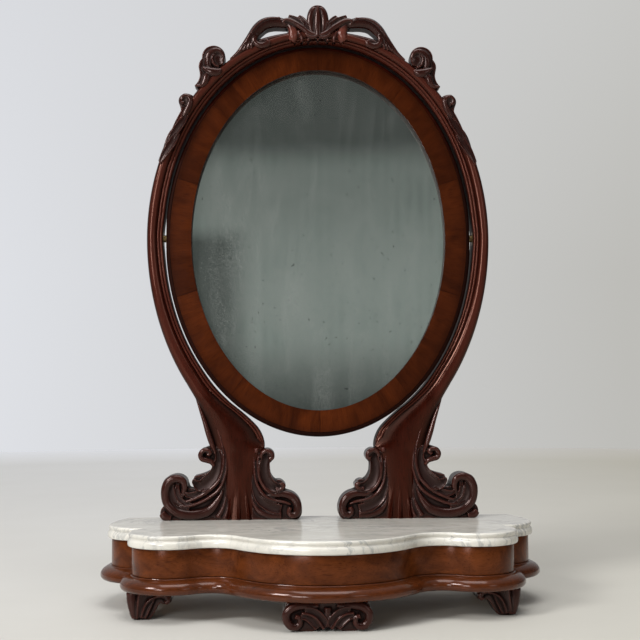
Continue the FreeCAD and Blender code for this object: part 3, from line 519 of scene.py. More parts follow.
def wing_path(offset):
    """Right wing from the notch to the back edge."""
    grown_tail = tail_radius + offset
    tail_end = math.asin((back_y - tail[1]) / grown_tail)
    return np.vstack([arc(wing, wing_radius + offset, heading(wing, notch(offset)), 0, 44),
                      arc(tail, grown_tail, 0, tail_end, 16)[1:]])


def side_path(offset):
    """Right side wall: rest of the lobe, the notch (rounded on the inside) and the wing."""
    corner = notch(offset)
    lobe_end = heading(lobe, corner)
    inside = max(-offset, 0)
    return np.vstack([arc(lobe, lobe_radius + offset, 0, lobe_end, 16),
                      arc(corner, inside, lobe_end + math.pi, heading(wing, corner) + math.pi, 12),
                      wing_path(offset)[1:]])


def at_height(plan, height):
    """Plan points at one height."""
    return np.column_stack([plan, np.full(len(plan), height)])


def carried(profile, path, side=1):
    """Profile of (outward offset, height) points carried along a plan path: one row per path point."""
    lines = [at_height(path(offset), height) for offset, height in profile]
    return np.stack(lines, axis=1) * np.array([side, 1, 1])


def add_carried(name, profile, path, side=1):
    """Closed length of moulding or wall that stands for the CAD node of the same kind."""
    add_tube(name + "_shaped", carried(profile, path, side), name)


def edge_profile(knots, width, bottom, height, count):
    """Smooth edge through (share out, share up) knots, as offsets and heights."""
    return flow(knots, count) * np.array([width, height]) + np.array([0, bottom])


moulding_knots = [(0.5, 0.0), (0.82, 0.05), (0.98, 0.2), (1.0, 0.36), (0.95, 0.52), (0.8, 0.68), (0.56, 0.81),
                  (0.3, 0.9), (0.12, 0.94), (0.06, 1.0)]
moulding_face = edge_profile(moulding_knots, moulding_projection, foot_top, board_top - foot_top, 46)
moulding_depth = 7.5
moulding_inner = [(-moulding_depth, board_top), (-moulding_depth, foot_top)]
moulding_profile = np.vstack([moulding_face, moulding_inner])
add_carried("base_moulding_front", moulding_profile, whole_front)
for side, sign in SIDES.items():
    add_carried(side + "_base_moulding", moulding_profile, wing_path, sign)


def wall_profile(depth, bottom, top):
    """Upright wall with slightly eased outer edges."""
    ease = 0.7
    corner = 0.3 * ease
    return [(-ease, bottom), (-corner, bottom + corner), (0, bottom + ease), (0, top - ease),
            (-corner, top - corner), (-ease, top), (-depth, top), (-depth, bottom)]


drawer_low, drawer_high = corners("drawer_front")[:, 2]
add_carried("drawer_front", wall_profile(drawer_wall, drawer_low, drawer_high), drawer_path)
for side, sign in SIDES.items():
    add_carried(side + "_side_frieze", wall_profile(frieze_wall, board_top, marble_bottom), side_path, sign)


def marble_slab():
    """Slab: rings of the outline, out from the middle of its underside, round the edge, in on its top."""
    knots = [(0.6, 0.0), (0.9, 0.04), (1.0, 0.18), (0.98, 0.36), (0.84, 0.49), (0.62, 0.57), (0.57, 0.66),
             (0.68, 0.74), (0.75, 0.84), (0.66, 0.94), (0.4, 0.992), (0.2, 1.0)]
    edge = edge_profile(knots, marble_overhang, marble_bottom, marble_top - marble_bottom, 40)

    def ring(offset):
        right_wing = wing_path(offset)
        front_run = whole_front(offset)
        left_wing = right_wing[::-1] * np.array([-1, 1])
        back = np.linspace(right_wing[-1], left_wing[0], 30)[1:-1]
        return np.vstack([front_run, right_wing[1:], back, left_wing[:-1]])

    middle = np.array([0, 30.0])
    shrink = (0.96, 0.7, 0.4, 0.12)

    def drawn_in(offset, height):
        return [at_height(middle + (ring(offset) - middle) * share, height) for share in shrink]

    rows = [at_height(ring(offset), height) for offset, height in edge]
    grid = np.stack(drawn_in(edge[0][0], marble_bottom)[::-1] + rows + drawn_in(edge[-1][0], marble_top))
    add_tube("marble_top_shaped", grid, "marble_top")


marble_slab()


# Uprights and arch

def oval(half, turn):
    """Points (across, height) on an oval about the pivot, by angle from its top."""
    return np.stack([half[..., 0] * np.sin(turn), pivot[2] + half[..., 1] * np.cos(turn)], axis=-1)


def at_depth(place, depth):
    """Points (across, height) at a depth: one depth for all, or one for each."""
    return np.stack([place[..., 0], np.broadcast_to(depth, place.shape[:-1]), place[..., 1]], axis=-1)


def closing(turn):
    """How far the slit's edges beside the mirror come together: not at all at the pivots, most above them."""
    pivot_clear = 20.0
    least, at_sides, above = 0.9, 0.2, 0.55
    away = 1 - np.exp(-(np.cos(turn) * mirror_half[1] / pivot_clear)**2)
    upper = 1 / (1 + np.exp(-30 * (np.cos(turn) - 0.05)))
    return away * (least + (at_sides + above * upper) * np.sin(turn)**2)


joint_turn = math.atan2(arch_half[1] * math.sin(joint_angle), arch_half[0] * math.cos(joint_angle))
flare_turn = math.radians(130.0)
# Lower part of the upright: outer edge and inner edge (across, height) from the flare to the marble
lower_edges = [((189, 299), (160, 314.2)), ((180, 282.5), (138, 291.3)), ((172.5, 266), (119, 275.8)),
               ((167.2, 250), (103.5, 262)), ((164.3, 236), (91.5, 248.5)), ((162.5, 222), (84.5, 233.5)),
               ((159, 208), (83.5, 219)), ((153, 192), (91, 204)), ((147, 172), (97, 182)),
               ((143, 150), (99.5, 155)), ((142, 132), (99, 133)), ((145, 114), (96, 114))]


def post_edges():
    """Outer and inner edge of the right upright, from the arch joint down to the marble."""
    turn = np.linspace(joint_turn, flare_turn, 130)
    outer_half = np.where(turn[:, None] < math.pi / 2, arch_half, lower_half)
    outer = oval(outer_half, turn)
    inner = oval(opening_half - closing(turn)[:, None], turn)
    ends = np.array([np.hstack(pair) for pair in lower_edges], float)
    lead = np.hstack([outer, inner])[-12::11]
    tail_rows = flow(np.vstack([lead, ends]), 14 * 9)[9:]
    rows = np.vstack([np.hstack([outer, inner])[:-1], tail_rows])
    return rows[:, :2], rows[:, 2:]


bead_band = 9.4
bead_share = 0.38
bead_start = 4.2
bead_drop = 2.2
crown_drop = 5.6


def half_round(place):
    """Fall of a nearly full half round: 0 on its crown, most at -1 and 1."""
    return 1 - np.sqrt(np.clip(1 - 0.97 * place**2, 0, 1))


def moulded_face(across, width, beads, rim):
    """Depth behind the crown, and relief: a half round on the outside, then two beads that slope back to the
    rim's depth; wide parts swell more gently. The relief paints a paler highlight on the crowns and shade in
    between."""
    band = np.minimum(bead_band, bead_share * width) * beads
    round_width = width - band
    place = np.clip(2 * across / round_width - 1, -1, 1)
    swell = np.minimum(0.5 * round_width, 7.0 + 0.09 * round_width)
    crown = np.where(place > 0, np.minimum(swell, crown_drop), swell) * half_round(place)
    bead_place = np.clip((across - round_width) / np.maximum(band, 0.01), 0, 1)
    bead_wave = 2 * np.abs((2 * bead_place) % 1 - 0.5)
    slope = (rim - bead_start - bead_drop) * beads * bead_place**1.6
    bead = bead_start + bead_drop * half_round(bead_wave) + slope
    beaded = (across > round_width) & (beads > 0.02)
    low = np.where(beaded, bead_wave, np.abs(place))**3
    narrow = np.clip((40 - width) / 12, 0, 1)
    # Relief: painted highlight on the crowns (and over narrow parts), painted shade towards the valleys
    return np.where(beaded, bead, crown), beads * (0.75 * np.maximum(narrow, beaded) - 1.35 * low)


def moulded_piece(name, outer, inner, beads, cad_node, sign=1, fans=None):
    """Post or arch: a moulded face between two edge lines, with flat sides and back; one ring per row."""
    columns = 64
    share = (1 - np.cos(np.linspace(0, math.pi, columns))) / 2 * 0.4 + np.linspace(0, 1, columns) * 0.6
    width = np.linalg.norm(outer - inner, axis=1)[:, None]
    place = outer[:, None] + (inner - outer)[:, None] * share[None, :, None]
    mirror_face = mirror_front + (inner[:, 1] - pivot[2]) * math.tan(mirror_tilt)
    rim = np.clip(mirror_face - post_front - 3.5, 7.5, 20.0)
    depth, relief = moulded_face(share[None] * width, width, beads[:, None], rim[:, None])
    if fans is not None:
        depth = depth + fans(place[..., 0], place[..., 1])
    face = at_depth(place, post_front + depth)
    # Behind the face: the side towards the mirror (in shadow), then the back
    toward = (outer - inner) / width
    rims = np.stack([inner, inner, inner + 1.5 * toward, outer], axis=1)
    depths = np.stack([face[:, -1, 1] + 0.7, *np.full((3, len(face)), post_back)], axis=1)
    rings = np.concatenate([face, at_depth(rims, depths)], axis=1) * np.array([sign, 1, 1])
    piece = add_tube(name, rings, cad_node)
    # Painted shade on the side towards the mirror and on the back
    side_painted_shade = np.full((len(rings), 4), -0.95)
    set_relief(piece, np.hstack([relief, side_painted_shade]))


def foot_fans(across, height):
    """Two ridges that fan out at the foot of the shaft, with hollows beside them."""
    fan_height = 52
    rise = np.clip((marble_top + fan_height - height) / fan_height, 0, 1)
    amount = rise**1.5
    ridges = 0
    for top, bottom in ((130.0, 136.5), (112.0, 105.5), (121.0, 121.0)):
        line = top + (bottom - top) * rise
        ridges = ridges - 5.0 * np.exp(-((across - line) / 2.0)**2)
    return amount * (ridges + 2.5)


def uprights():
    """Both uprights and the arch between them."""
    outer, inner = post_edges()
    beads = np.clip((inner[:, 1] - 222) / 14, 0, 1)
    for side, sign in SIDES.items():
        moulded_piece(side + "_upright_moulded", outer, inner, beads, side + "_upright", sign, foot_fans)
    turn = np.linspace(-joint_turn, joint_turn, 150)
    inner_arch = oval(opening_half - closing(turn)[:, None], turn)
    moulded_piece("top_arch_moulded", oval(arch_half, turn), inner_arch, np.ones(len(turn)), "top_arch")


uprights()


# Carvings

def strand(knots, gouge, plane, back):
    """One carved strand along a smooth path of (across, height, half width, front) knots. Front is how far it
    stands ahead of the plane. The section is hollowed by the gouge's depth, or crowned where the gouge is 0
    (narrow strands to a ridge, wide ones to a round), and its sides run straight to the back."""
    line = flow(knots, 12 * len(knots))
    place, half, front = line[:, :2], line[:, 2:3], line[:, 3:4]
    run = np.gradient(place, axis=0)
    run = run / np.linalg.norm(run, axis=1, keepdims=True)
    aside = np.stack([-run[:, 1], run[:, 0]], axis=1)
    over = np.linspace(-1, 1, 13)[None]
    rounded = 0.85 * half * (1 - np.sqrt(1 - 0.95 * over**2))
    ridged = 0.75 * half * np.abs(over)**1.2
    crowned = ridged + (rounded - ridged) * np.clip((half - 2.4) / 2.2, 0, 1)
    hollowed = gouge * np.clip(half / 5, 0.3, 1.2) * (1 - over**2)
    depth = hollowed if gouge else crowned
    spots = place[:, None] + aside[:, None] * (half * over)[..., None]
    face = at_depth(spots, plane - front + depth)
    rear = face[:, ::-12].copy()
    rear[..., 1] = back
    rings = np.concatenate([face, rear], axis=1)
    return rings.reshape(-1, 3), tube_faces(*rings.shape[:2])


def ground(cad_node, front):
    """Copy of a CAD carving's block with its face cut back to a depth, for strands to stand on."""
    mesh = frame["nodes"][cad_node].data
    mesh.calc_loop_triangles()
    points = values_of(mesh.vertices, "co", width=3) / MM
    points[:, 1] = np.maximum(points[:, 1], front)
    return points, values_of(mesh.loop_triangles, "vertices", int, 3).tolist()


def fused(solids, voxel):
    """Overlapping closed solids made one smooth skin: points in millimetres and four-sided faces."""
    starts = np.cumsum([0] + [len(points) for points, faces in solids])
    points = np.vstack([points for points, faces in solids])
    faces = [[start + corner for corner in face] for start, solid in zip(starts, solids) for face in solid[1]]
    rough = linked("rough carving", closed_mesh("rough carving", points, faces))
    remesh = rough.modifiers.new("skin", "REMESH")
    remesh.mode = "VOXEL"
    remesh.voxel_size = voxel * MM
    softened = rough.modifiers.new("sanding", "SMOOTH")
    softened.factor = 0.5
    softened.iterations = 3
    skin = bpy.data.meshes.new_from_object(rough.evaluated_get(bpy.context.evaluated_depsgraph_get()))
    bpy.data.objects.remove(rough)
    corners_of = values_of(skin.loops, "vertex_index", int)
    return values_of(skin.vertices, "co", width=3) / MM, corners_of.reshape(-1, 4)


def relief_of(points, faces, passes=14):
    """How far each point stands above its surroundings along its normal, about -1 in hollows and 1 on edges:
    the point less the average of its neighbours, taken many times over. Sides and back are set to -0.7 as
    hollows, so they take painted shade."""
    pairs = np.vstack([faces[:, [0, 1]], faces[:, [1, 2]], faces[:, [2, 3]], faces[:, [3, 0]]])
    start = np.concatenate([pairs[:, 0], pairs[:, 1]])
    end = np.concatenate([pairs[:, 1], pairs[:, 0]])
    count = np.bincount(start, minlength=len(points))[:, None]
    level = points
    for _ in range(passes):
        sums = [np.bincount(start, weights=level[end, axis], minlength=len(points)) for axis in range(3)]
        level = np.stack(sums, axis=1) / count
    face_normal = np.cross(points[faces[:, 2]] - points[faces[:, 0]],
                           points[faces[:, 3]] - points[faces[:, 1]])
    normal = sum(np.stack([np.bincount(faces[:, corner], weights=face_normal[:, axis], minlength=len(points))
                           for axis in range(3)], axis=1) for corner in range(4))
    normal = normal / np.linalg.norm(normal, axis=1, keepdims=True)
    relief_scale = 0.55
    relief = np.clip(((points - level) * normal).sum(axis=1) / relief_scale, -1.5, 1.5)
    # Painted shade: points that face sideways or back are pushed towards -0.7
    sideways = np.clip((normal[:, 1] + 0.15) / 0.35, 0, 1)
    return relief + (-0.7 - relief) * sideways


def add_carving(name, skin, cad_node, sign=1, rubbed_highlight=None):
    """Carved piece from a fused skin, on the right (sign 1) or mirrored to the left (sign -1). A rubbed highlight
    place (across, height, reach across, reach up) is painted paler: a painted highlight that also stands for
    rubbing."""
    points, faces = skin
    relief = relief_of(points, faces)
    if rubbed_highlight is not None:
        # Painted highlight, partly rubbing: relief raised inside the rubbed place
        off = (points[:, [0, 2]] - rubbed_highlight[:2]) / rubbed_highlight[2:]
        relief = relief + 3.0 * np.exp(-(off**4).sum(axis=1)) * (relief > -0.6)
    turned = faces if sign > 0 else faces[:, ::-1]
    piece = add_piece(name, points * np.array([sign, 1, 1]), turned.tolist(), cad_node, sharp=180.0)
    set_relief(piece, relief)


def carved_pair(kind, strands, plane, ground_depth, back, base=(0, 0), voxel=0.9, rubbed_highlight=None):
    """Right carving and its mirrored fellow: strands, on the CAD block's ground where a depth is given."""
    shift = np.array([base[0], base[1], 0, 0])
    solids = [strand(np.array(knots, float) + shift, gouge, plane, back) for gouge, knots in strands]
    if ground_depth is not None:
        solids.append(ground("right_" + kind, plane + ground_depth))
    skin = fused(solids, voxel)
    for side, sign in SIDES.items():
        add_carving(side + "_" + kind + "_carved", skin, side + "_" + kind, sign, rubbed_highlight)


def carved_middle(kind, strands, plane, ground_depth, back, base=(0, 0), voxel=0.8):
    """Carving on the middle plane: strands given for the right half and repeated on the left."""
    shift = np.array([base[0], base[1], 0, 0])
    flip = np.array([-1, 1, 1, 1])
    solids = [ground(kind, plane + ground_depth)]
    for gouge, knots in strands:
        placed_knots = np.array(knots, float) + shift
        solids += [strand(placed_knots, gouge, plane, back), strand(placed_knots * flip, gouge, plane, back)]
    add_carving(kind + "_carved", fused(solids, voxel), kind)


# Strands are (gouge depth, knots); knots are (across, height, half width, front), in millimetres
outer_leaf_strands = [
    # rolled volute
    (0, [(142.5, 62, 1.2, -8), (146, 45, 2.4, -4), (153.5, 28.5, 4.4, -1.5), (166, 14.5, 6.8, 0),
         (183.5, 8.8, 7.4, 0.6), (201, 8.8, 7.4, 1), (216.6, 14, 7.2, 1.4), (227, 24.4, 6.8, 1.8),
         (230.8, 37.4, 6.6, 2), (229.6, 50.2, 6.5, 2.2), (223, 59.4, 6.3, 2.2), (213.6, 62.2, 6, 2.2),
         (205, 58.8, 5.2, 2), (202, 50.6, 4.2, 1), (203.6, 41.5, 3.4, -1), (206, 34, 2.6, -3)]),
    # flutes that spread from the shaft on to the marble
    (0, [(139, 50, 1.2, -8.5), (141, 34, 2.4, -6.4), (145.4, 18.5, 3.4, -4.6), (153, 3.6, 4.2, -3.4)]),
    (0, [(136.6, 38, 1.2, -8.5), (137.4, 24, 2.1, -6.8), (139.6, 12, 2.9, -5.4), (143.4, 2.2, 3.3, -4.6)]),
    # heel of the volute
    (0, [(222, 4, 5, -2), (231, 6, 6.5, -1), (236, 11, 5, -1)]),
    # folds inside the volute
    (1.4, [(220.5, 55, 2.6, -2.4), (221, 43, 4, -1.8), (216.5, 30, 4.2, -1.6), (206.5, 22, 3.4, -1.2),
           (195, 18, 2.4, -1)]),
    (1.2, [(212.5, 55, 2.6, -3.4), (212.8, 43, 3.6, -2.6), (208.5, 31, 3.8, -2.2), (198.5, 25, 3, -1.6),
           (186, 22.5, 2, -1.4)]),
    # thin ridges that sweep from the shaft into the volute
    (0, [(149.5, 128, 1.2, -7), (143, 106, 1.6, -4.6), (140, 84, 2, -2.6), (142, 68, 2.3, -1.2),
         (149.5, 48, 2.5, 0.2), (163, 35.5, 2.5, 0.8), (180, 26.5, 2.4, 0.8), (196, 21.6, 2.1, 0.2),
         (208, 21.8, 1.6, -1)]),
    (0, [(180, 187, 0.9, -10), (170.5, 172, 1.4, -8.4), (161, 157.4, 1.6, -7), (154, 137, 1.8, -4.8),
         (148, 117, 2, -3.6), (144.5, 100, 2.2, -2.4), (144.8, 80, 2.4, -1), (150.5, 61, 2.7, 0.6),
         (161.5, 48, 2.8, 1.4), (175, 38.6, 2.7, 1.4), (189, 31.6, 2.4, 0.8), (200, 28, 1.8, -0.8)]),
    # broad hollow blade with a hooked tip
    (3.6, [(153, 104, 4, -3.6), (151.8, 88, 6, -2.2), (156.5, 70.5, 8.6, -0.4), (166.5, 57.5, 10.4, 1),
           (178, 51.5, 8.8, 2), (186.6, 56.5, 4.6, 2.6), (188, 61.5, 2.2, 2.4)]),
    (2.0, [(170, 43, 5, 0), (184, 38.5, 5.4, 0.4), (196, 37.6, 3.8, 0.2), (202.5, 41, 2, -0.6)]),
    # small scroll under the shaft's outer strand
    (0, [(158.5, 80, 2.4, -1), (162.6, 86, 3.4, 0.6), (169.5, 89, 3.9, 1.6), (176, 91.2, 4, 2.2),
         (178.6, 97, 3.8, 2.6), (175, 103, 3.6, 2.8), (168.6, 103.8, 3.3, 2.8), (164.6, 100, 3, 2.6),
         (168.4, 96.4, 2.5, 2.6)]),
    (0, [(186, 183, 1.4, -12), (179, 163, 2.4, -8.5), (173, 146, 3.2, -5.4), (168.6, 132, 3.7, -3),
         (164.4, 119.6, 3.9, -1.4), (160.6, 109, 3.4, -0.8), (157, 99, 2, -2.5)]),
]
inner_leaf_strands = [
    # hollow channel between the two knobs
    (3.8, [(83, 99, 4, -0.5), (81.6, 91, 6.4, 0), (83.2, 79.5, 7.8, 0.4), (82, 66, 8.3, 0.8),
           (76, 54, 8.4, 1.2), (66.3, 48.4, 7.2, 1.6), (57.8, 50, 4.8, 2)]),
    (0, [(88.5, 92, 2.6, -0.5), (86.6, 98.6, 3.2, 0.8), (80, 102.4, 3.8, 1.6), (73.4, 99, 4, 2.2),
         (72, 92.6, 3.7, 2.5), (76, 90, 3, 2.4)]),
    (0, [(66, 45, 3.2, 0.8), (58.4, 45.6, 3.8, 1.8), (55.2, 50.6, 3.8, 2.2), (58.8, 54.2, 3.2, 2.4)]),
    # thin ridges from the shaft
    (0, [(91, 101, 1.6, -3), (92.6, 88, 2, -1), (92.4, 74, 2.3, 0.4), (89.6, 59.5, 2.5, 1),
         (81, 45.4, 2.5, 1.4), (69, 37.6, 2.3, 1.2), (57, 36, 1.8, 0.4)]),
    (0, [(99.6, 100, 1.2, -5), (98.4, 84, 1.8, -3), (97.6, 69, 2.2, -1.4), (94, 52, 2.5, 0),
         (84.4, 37.4, 2.6, 0.8), (69, 29.2, 2.5, 0.8), (53, 26, 2, 0.2), (44, 22.5, 1.5, -1)]),
    # lower volute
    (0, [(80, 35.5, 2.4, -0.5), (68, 37.4, 4.2, 1), (53, 38, 5.4, 1.8), (40.5, 32.6, 6, 2.2),
         (33.8, 21.6, 6, 2.4), (35.6, 9.6, 5.4, 2.4), (42.4, 6.6, 4.4, 2.2), (46.6, 11.6, 3.8, 2),
         (44.6, 18, 3, 2)]),
    # smooth hollows below the ridges
    (2.4, [(102.5, 66, 1.6, -5), (98.6, 46, 4, -3.4), (91, 30, 6, -2), (76, 19.6, 7.6, -1.2),
           (58, 15, 7, -0.8)]),
    (0, [(104.5, 50, 1.4, -8), (101, 30, 3, -4.6), (92, 14, 4.6, -2.8), (76, 7, 5.4, -1.8),
         (58, 6, 5, -1.2)]),
    # round boss
    (0, [(91.2, 103, 3, -1), (93, 103, 3.7, 1.6), (95, 103, 3.9, 2.2), (97, 103, 3.7, 1.6),
         (98.8, 103, 3, -1)]),
]
crest_scroll_strands = [
    # rolled upper band and its tail along the arch
    (0, [(41, 868, 4, -1), (50, 870.2, 7, 0.6), (66, 872.2, 8.6, 1.8), (81, 869.6, 9.2, 2.2),
         (92.4, 860.6, 9, 2.2), (103.6, 846, 7, 1.6), (114.4, 832.4, 4.8, 0.6), (123, 822.6, 3.4, -0.5),
         (134, 813.4, 2, -2)]),
    (0, [(58, 877.6, 1.8, 1.6), (78, 875.4, 2.2, 3), (92, 866.4, 2.2, 3.2), (102.6, 853, 1.9, 2.6),
         (110, 840.8, 1.4, 1.2)]),
    # hook with a ball end under the pierced hole
    (0, [(89.5, 856, 3.4, 0), (95.6, 849.6, 4.6, 1.6), (96.6, 841, 5, 2.8), (91.6, 835.4, 4.9, 3.4),
         (83.8, 834.8, 4.8, 3.8), (77.2, 838, 5.2, 4.2), (75.4, 842, 4.2, 4.2)]),
    # reeds between the hook and the tail
    (0, [(101.5, 850, 1.6, 0), (109.4, 834.8, 2.2, 1.6), (114.8, 827, 2, 0.6)]),
    (0, [(100.8, 846, 1.6, 0.4), (105.4, 835.8, 2.2, 2), (108.4, 828, 2, 1)]),
    (0, [(100.2, 842, 1.8, 0.8), (101.6, 835.4, 2.2, 2.2), (102.2, 829, 2, 1.2)]),
    # rail of the crest on the arch, below the hole
    (0, [(36, 852.4, 5, -1.5), (52, 849.8, 5, -1.5), (70, 846, 5, -1.5), (88, 840.6, 5, -1.5),
         (106, 832.6, 4.4, -1.5), (120, 824.6, 3.2, -2)]),
    # smooth stem that bends out at its foot
    (0, [(45, 869, 4.4, 0), (40.8, 863.6, 6, 1.6), (38, 857, 7, 2.4), (37.6, 851, 7.2, 2.6),
         (38.8, 846, 7, 2), (41, 842.4, 6.2, 0.4)]),
    # two side leaves and the thick lower roll with its curl
    (1.8, [(44.6, 881.2, 1.8, 1.6), (37.4, 877, 3.8, 2.4), (28.8, 872, 4.6, 2.8), (15, 861.6, 4, 2.8)]),
    (1.6, [(29, 881, 1.8, 1.8), (23.4, 875.4, 3.6, 2.6), (16.8, 867.4, 4, 2.8), (11, 858, 3, 2.6)]),
    (0, [(49.6, 867, 2.2, 1), (52.6, 871, 2.8, 2.2), (48.6, 874.2, 3.4, 3), (39.4, 872, 4.2, 3.4),
         (25.6, 863.6, 4.5, 3.8), (16.8, 856.4, 4.4, 4), (9, 852.4, 4, 4), (3, 851.6, 3.2, 3.4)]),
    # curved strand beside the stem
    (0, [(29.8, 858, 2.4, 0.6), (26.6, 850.6, 3, 1.6), (24.6, 845, 2.8, 1.6), (25.4, 840.6, 2.2, 0.6)]),
]
palmette_strands = [
    # bud: tongue between two petals
    (0, [(0, 848, 7.6, 3.6), (0, 860, 6.8, 4.8), (0, 873, 5.8, 5), (0, 885, 4.4, 4.4), (0, 895.2, 2.6, 2.8)]),
    (0, [(6.4, 851, 4.2, 1.8), (10, 862, 5.8, 3), (11, 874.6, 6, 3.2), (8.4, 886.6, 5.4, 2.8),
         (3.8, 894, 3.8, 2)]),
    # foot under the bud, and the beads below it
    (0, [(2, 848.4, 3, 3.6), (9, 847.4, 3, 3.8), (15.4, 849.8, 2.8, 3.8), (19, 854, 2, 3.4)]),
    (0, [(-1.4, 843.4, 1.9, 1.8), (0, 843.8, 2.3, 2.8), (1.4, 843.4, 1.9, 1.8)]),
    (0, [(12.8, 842.9, 1.8, 1.4), (14.6, 843.4, 2.3, 2.4), (16.4, 842.9, 1.8, 1.4)]),
]
shoulder_volute_strands = [
    # broad shell, thin at its inner end, round a shallow disc with a crisp rim
    (0, [(166.6, 801, 5, 0.4), (168.2, 810.6, 6, 1.8), (166, 819.4, 6.2, 2.4), (160.2, 824.8, 5.4, 2.6),
         (153.2, 826.2, 4.4, 2.6), (147.4, 822.4, 3.6, 2.2), (145, 816, 2.8, 1.6), (145.8, 809.6, 2.2, 0.8)]),
    (0, [(157, 821.4, 1.4, 1.6), (161, 816.4, 2, 3), (161, 809.6, 2.2, 3.2), (157.4, 803.6, 1.8, 2.4),
         (151.6, 801, 1.2, 1)]),
    (1, [(152.6, 821, 4.5, 0.6), (152.6, 813, 7.6, 1.2), (151, 804, 6.4, 0.2)]),
    # round cup below the shell
    (0, [(176, 800.4, 1.6, 0.6), (170.6, 797, 4.4, 2.2), (162.8, 793.4, 7.2, 3.6), (154.6, 793.2, 6.6, 3),
         (147.4, 796.6, 3.2, 1)]),
    # drop leaf with a hooked tip
    (0, [(166.4, 792, 4.4, 1), (170, 785.6, 5.8, 2.4), (172.4, 778.4, 5, 2.4), (177.4, 772.6, 3.4, 1.8),
         (186, 771.4, 2, 1)]),
]
husk_strands = [
    # open hook
    (0, [(206.6, 720.6, 3, 0.6), (203.2, 727.6, 4.2, 2), (198, 737, 4.8, 2.6), (195, 746, 4.5, 2.8),
         (197.4, 753, 4.1, 2.8), (203, 755.4, 3.8, 2.8), (207.4, 751.8, 3.4, 2.8), (207.4, 746.4, 3, 3),
         (204.4, 744, 2.6, 3.2)]),
    # two overlapping pointed blades
    (0.9, [(200, 726, 3, 1.2), (207.4, 714.6, 5.6, 2.4), (216, 702.6, 6, 2.6), (221.8, 692.6, 5, 2.2),
           (227, 682, 2.4, 1)]),
    (0.9, [(212.6, 697, 2.6, 1.6), (220.8, 685.4, 6, 2.8), (228.8, 673.4, 5.8, 2.8), (236, 662, 4.2, 2),
           (241.4, 650.6, 1.4, 0.4)]),
    (0, [(213.6, 716, 1.6, 0.4), (220.6, 702, 2, 1), (228.6, 686, 2, 1), (236, 670.6, 1.8, 0.4),
         (242.4, 655, 1.2, -1)]),
    (1, [(203.4, 751, 2.6, 1.4), (202, 746, 3.6, 1.2), (201, 741, 2.4, 0.6)]),
]
front_foot_strands = [
    # tapered body in two facets, the ridge between them, the leaf's swirl and the small hook
    (0, [(54, 36, 7.4, -0.6), (53, 23, 7, 0.6), (50.6, 11, 5.8, 0.8), (48.6, 2.6, 4.6, 0.2)]),
    (1.2, [(31, 36, 11, -0.6), (34, 24, 9.4, 0.4), (37, 12, 7.2, 0.8), (39, 3, 5, 0.2)]),
    (0, [(43.4, 35.4, 1.4, 0.8), (44.6, 22, 1.8, 2), (45.4, 10, 1.7, 1.8), (45.8, 2.4, 1.4, 0.8)]),
    (0, [(12, 32.6, 2, 1.6), (24, 30, 2.3, 2.2), (33.4, 22.4, 2.3, 2.4), (38.2, 11.6, 2, 2),
         (40, 3, 1.6, 1)]),
    (0, [(30, 34, 3.4, 0.6), (17, 33.6, 3.8, 1.2), (8, 31.4, 4, 1.8), (4.8, 26.2, 3.6, 2.2),
         (8.4, 22.6, 3.2, 2.4)]),
]
centre_foot_strands = [
    # volute
    (0, [(12, 32.8, 3, 0), (25, 32.6, 4.4, 0.8), (41, 31.6, 5.2, 1.6), (51.4, 25, 5.4, 2),
         (52.6, 15.6, 5.3, 2.2), (47.6, 7.8, 5, 2.2), (40.6, 6.4, 4.4, 2), (35.8, 10.6, 3.8, 1.8),
         (36.2, 17.4, 3.2, 2), (41.4, 19.4, 2.8, 2.4)]),
    # leaf blades that rise from the middle of the lower edge
    (1.8, [(2, 5, 5, 0), (8, 15, 6.4, 0.8), (17, 23.6, 6.2, 1.4), (29, 27, 4.4, 1.4)]),
    (1.6, [(12, 5, 4.6, 0), (18, 12.6, 5.4, 0.8), (26, 18.6, 4.8, 1.2), (34, 20, 3.2, 1)]),
    (0, [(5, 3.4, 2, 0.6), (13, 15.6, 1.7, 2.2), (22, 21.6, 1.7, 2.4), (33, 23.6, 1.5, 1.8)]),
    (0, [(0, 30, 5, -1), (0, 20, 5, -0.4), (0, 9, 4, -1)]),
]

leaf_ground = 7.0
crest_ground = 5.0
strand_back = post_back - 2.0
carved_pair("outer_leaf", outer_leaf_strands, leaf_front, leaf_ground, strand_back, (0, marble_top))
carved_pair("inner_leaf", inner_leaf_strands, leaf_front, leaf_ground, strand_back, (0, marble_top))
# Paler patch on the stem: painted highlight, partly rubbing
stem_rubbed_highlight = np.array([38.0, 852.0, 8.0, 11.0])
carved_pair("crest_scroll", crest_scroll_strands, crest_front, None, crest_back, voxel=0.8, rubbed_highlight=stem_rubbed_highlight)
carved_pair("shoulder_volute", shoulder_volute_strands, crest_front, crest_ground, crest_back, voxel=0.7)
carved_pair("husk", husk_strands, crest_front, crest_ground, crest_back, voxel=0.7)
carved_middle("crest_palmette", palmette_strands, crest_front, crest_ground, crest_back)
foot_ground = 5.0
front_foot_low, front_foot_high = corners("right_front_foot")
carved_pair("front_foot", front_foot_strands, front_foot_low[1], foot_ground, front_foot_high[1],
            (front_foot_low[0], 0))
centre_foot_low, centre_foot_high = corners("centre_front_foot")
carved_middle("centre_front_foot", centre_foot_strands, centre_foot_low[1], foot_ground, centre_foot_high[1])


# Oval mirror

def tilted(points):
    """Points turned back about the pivot axis, as the mirror stands at rest."""
    turn = np.array([[1, 0, 0], [0, math.cos(mirror_tilt), math.sin(mirror_tilt)],
                     [0, -math.sin(mirror_tilt), math.cos(mirror_tilt)]])
    return (points - pivot) @ turn.T + pivot


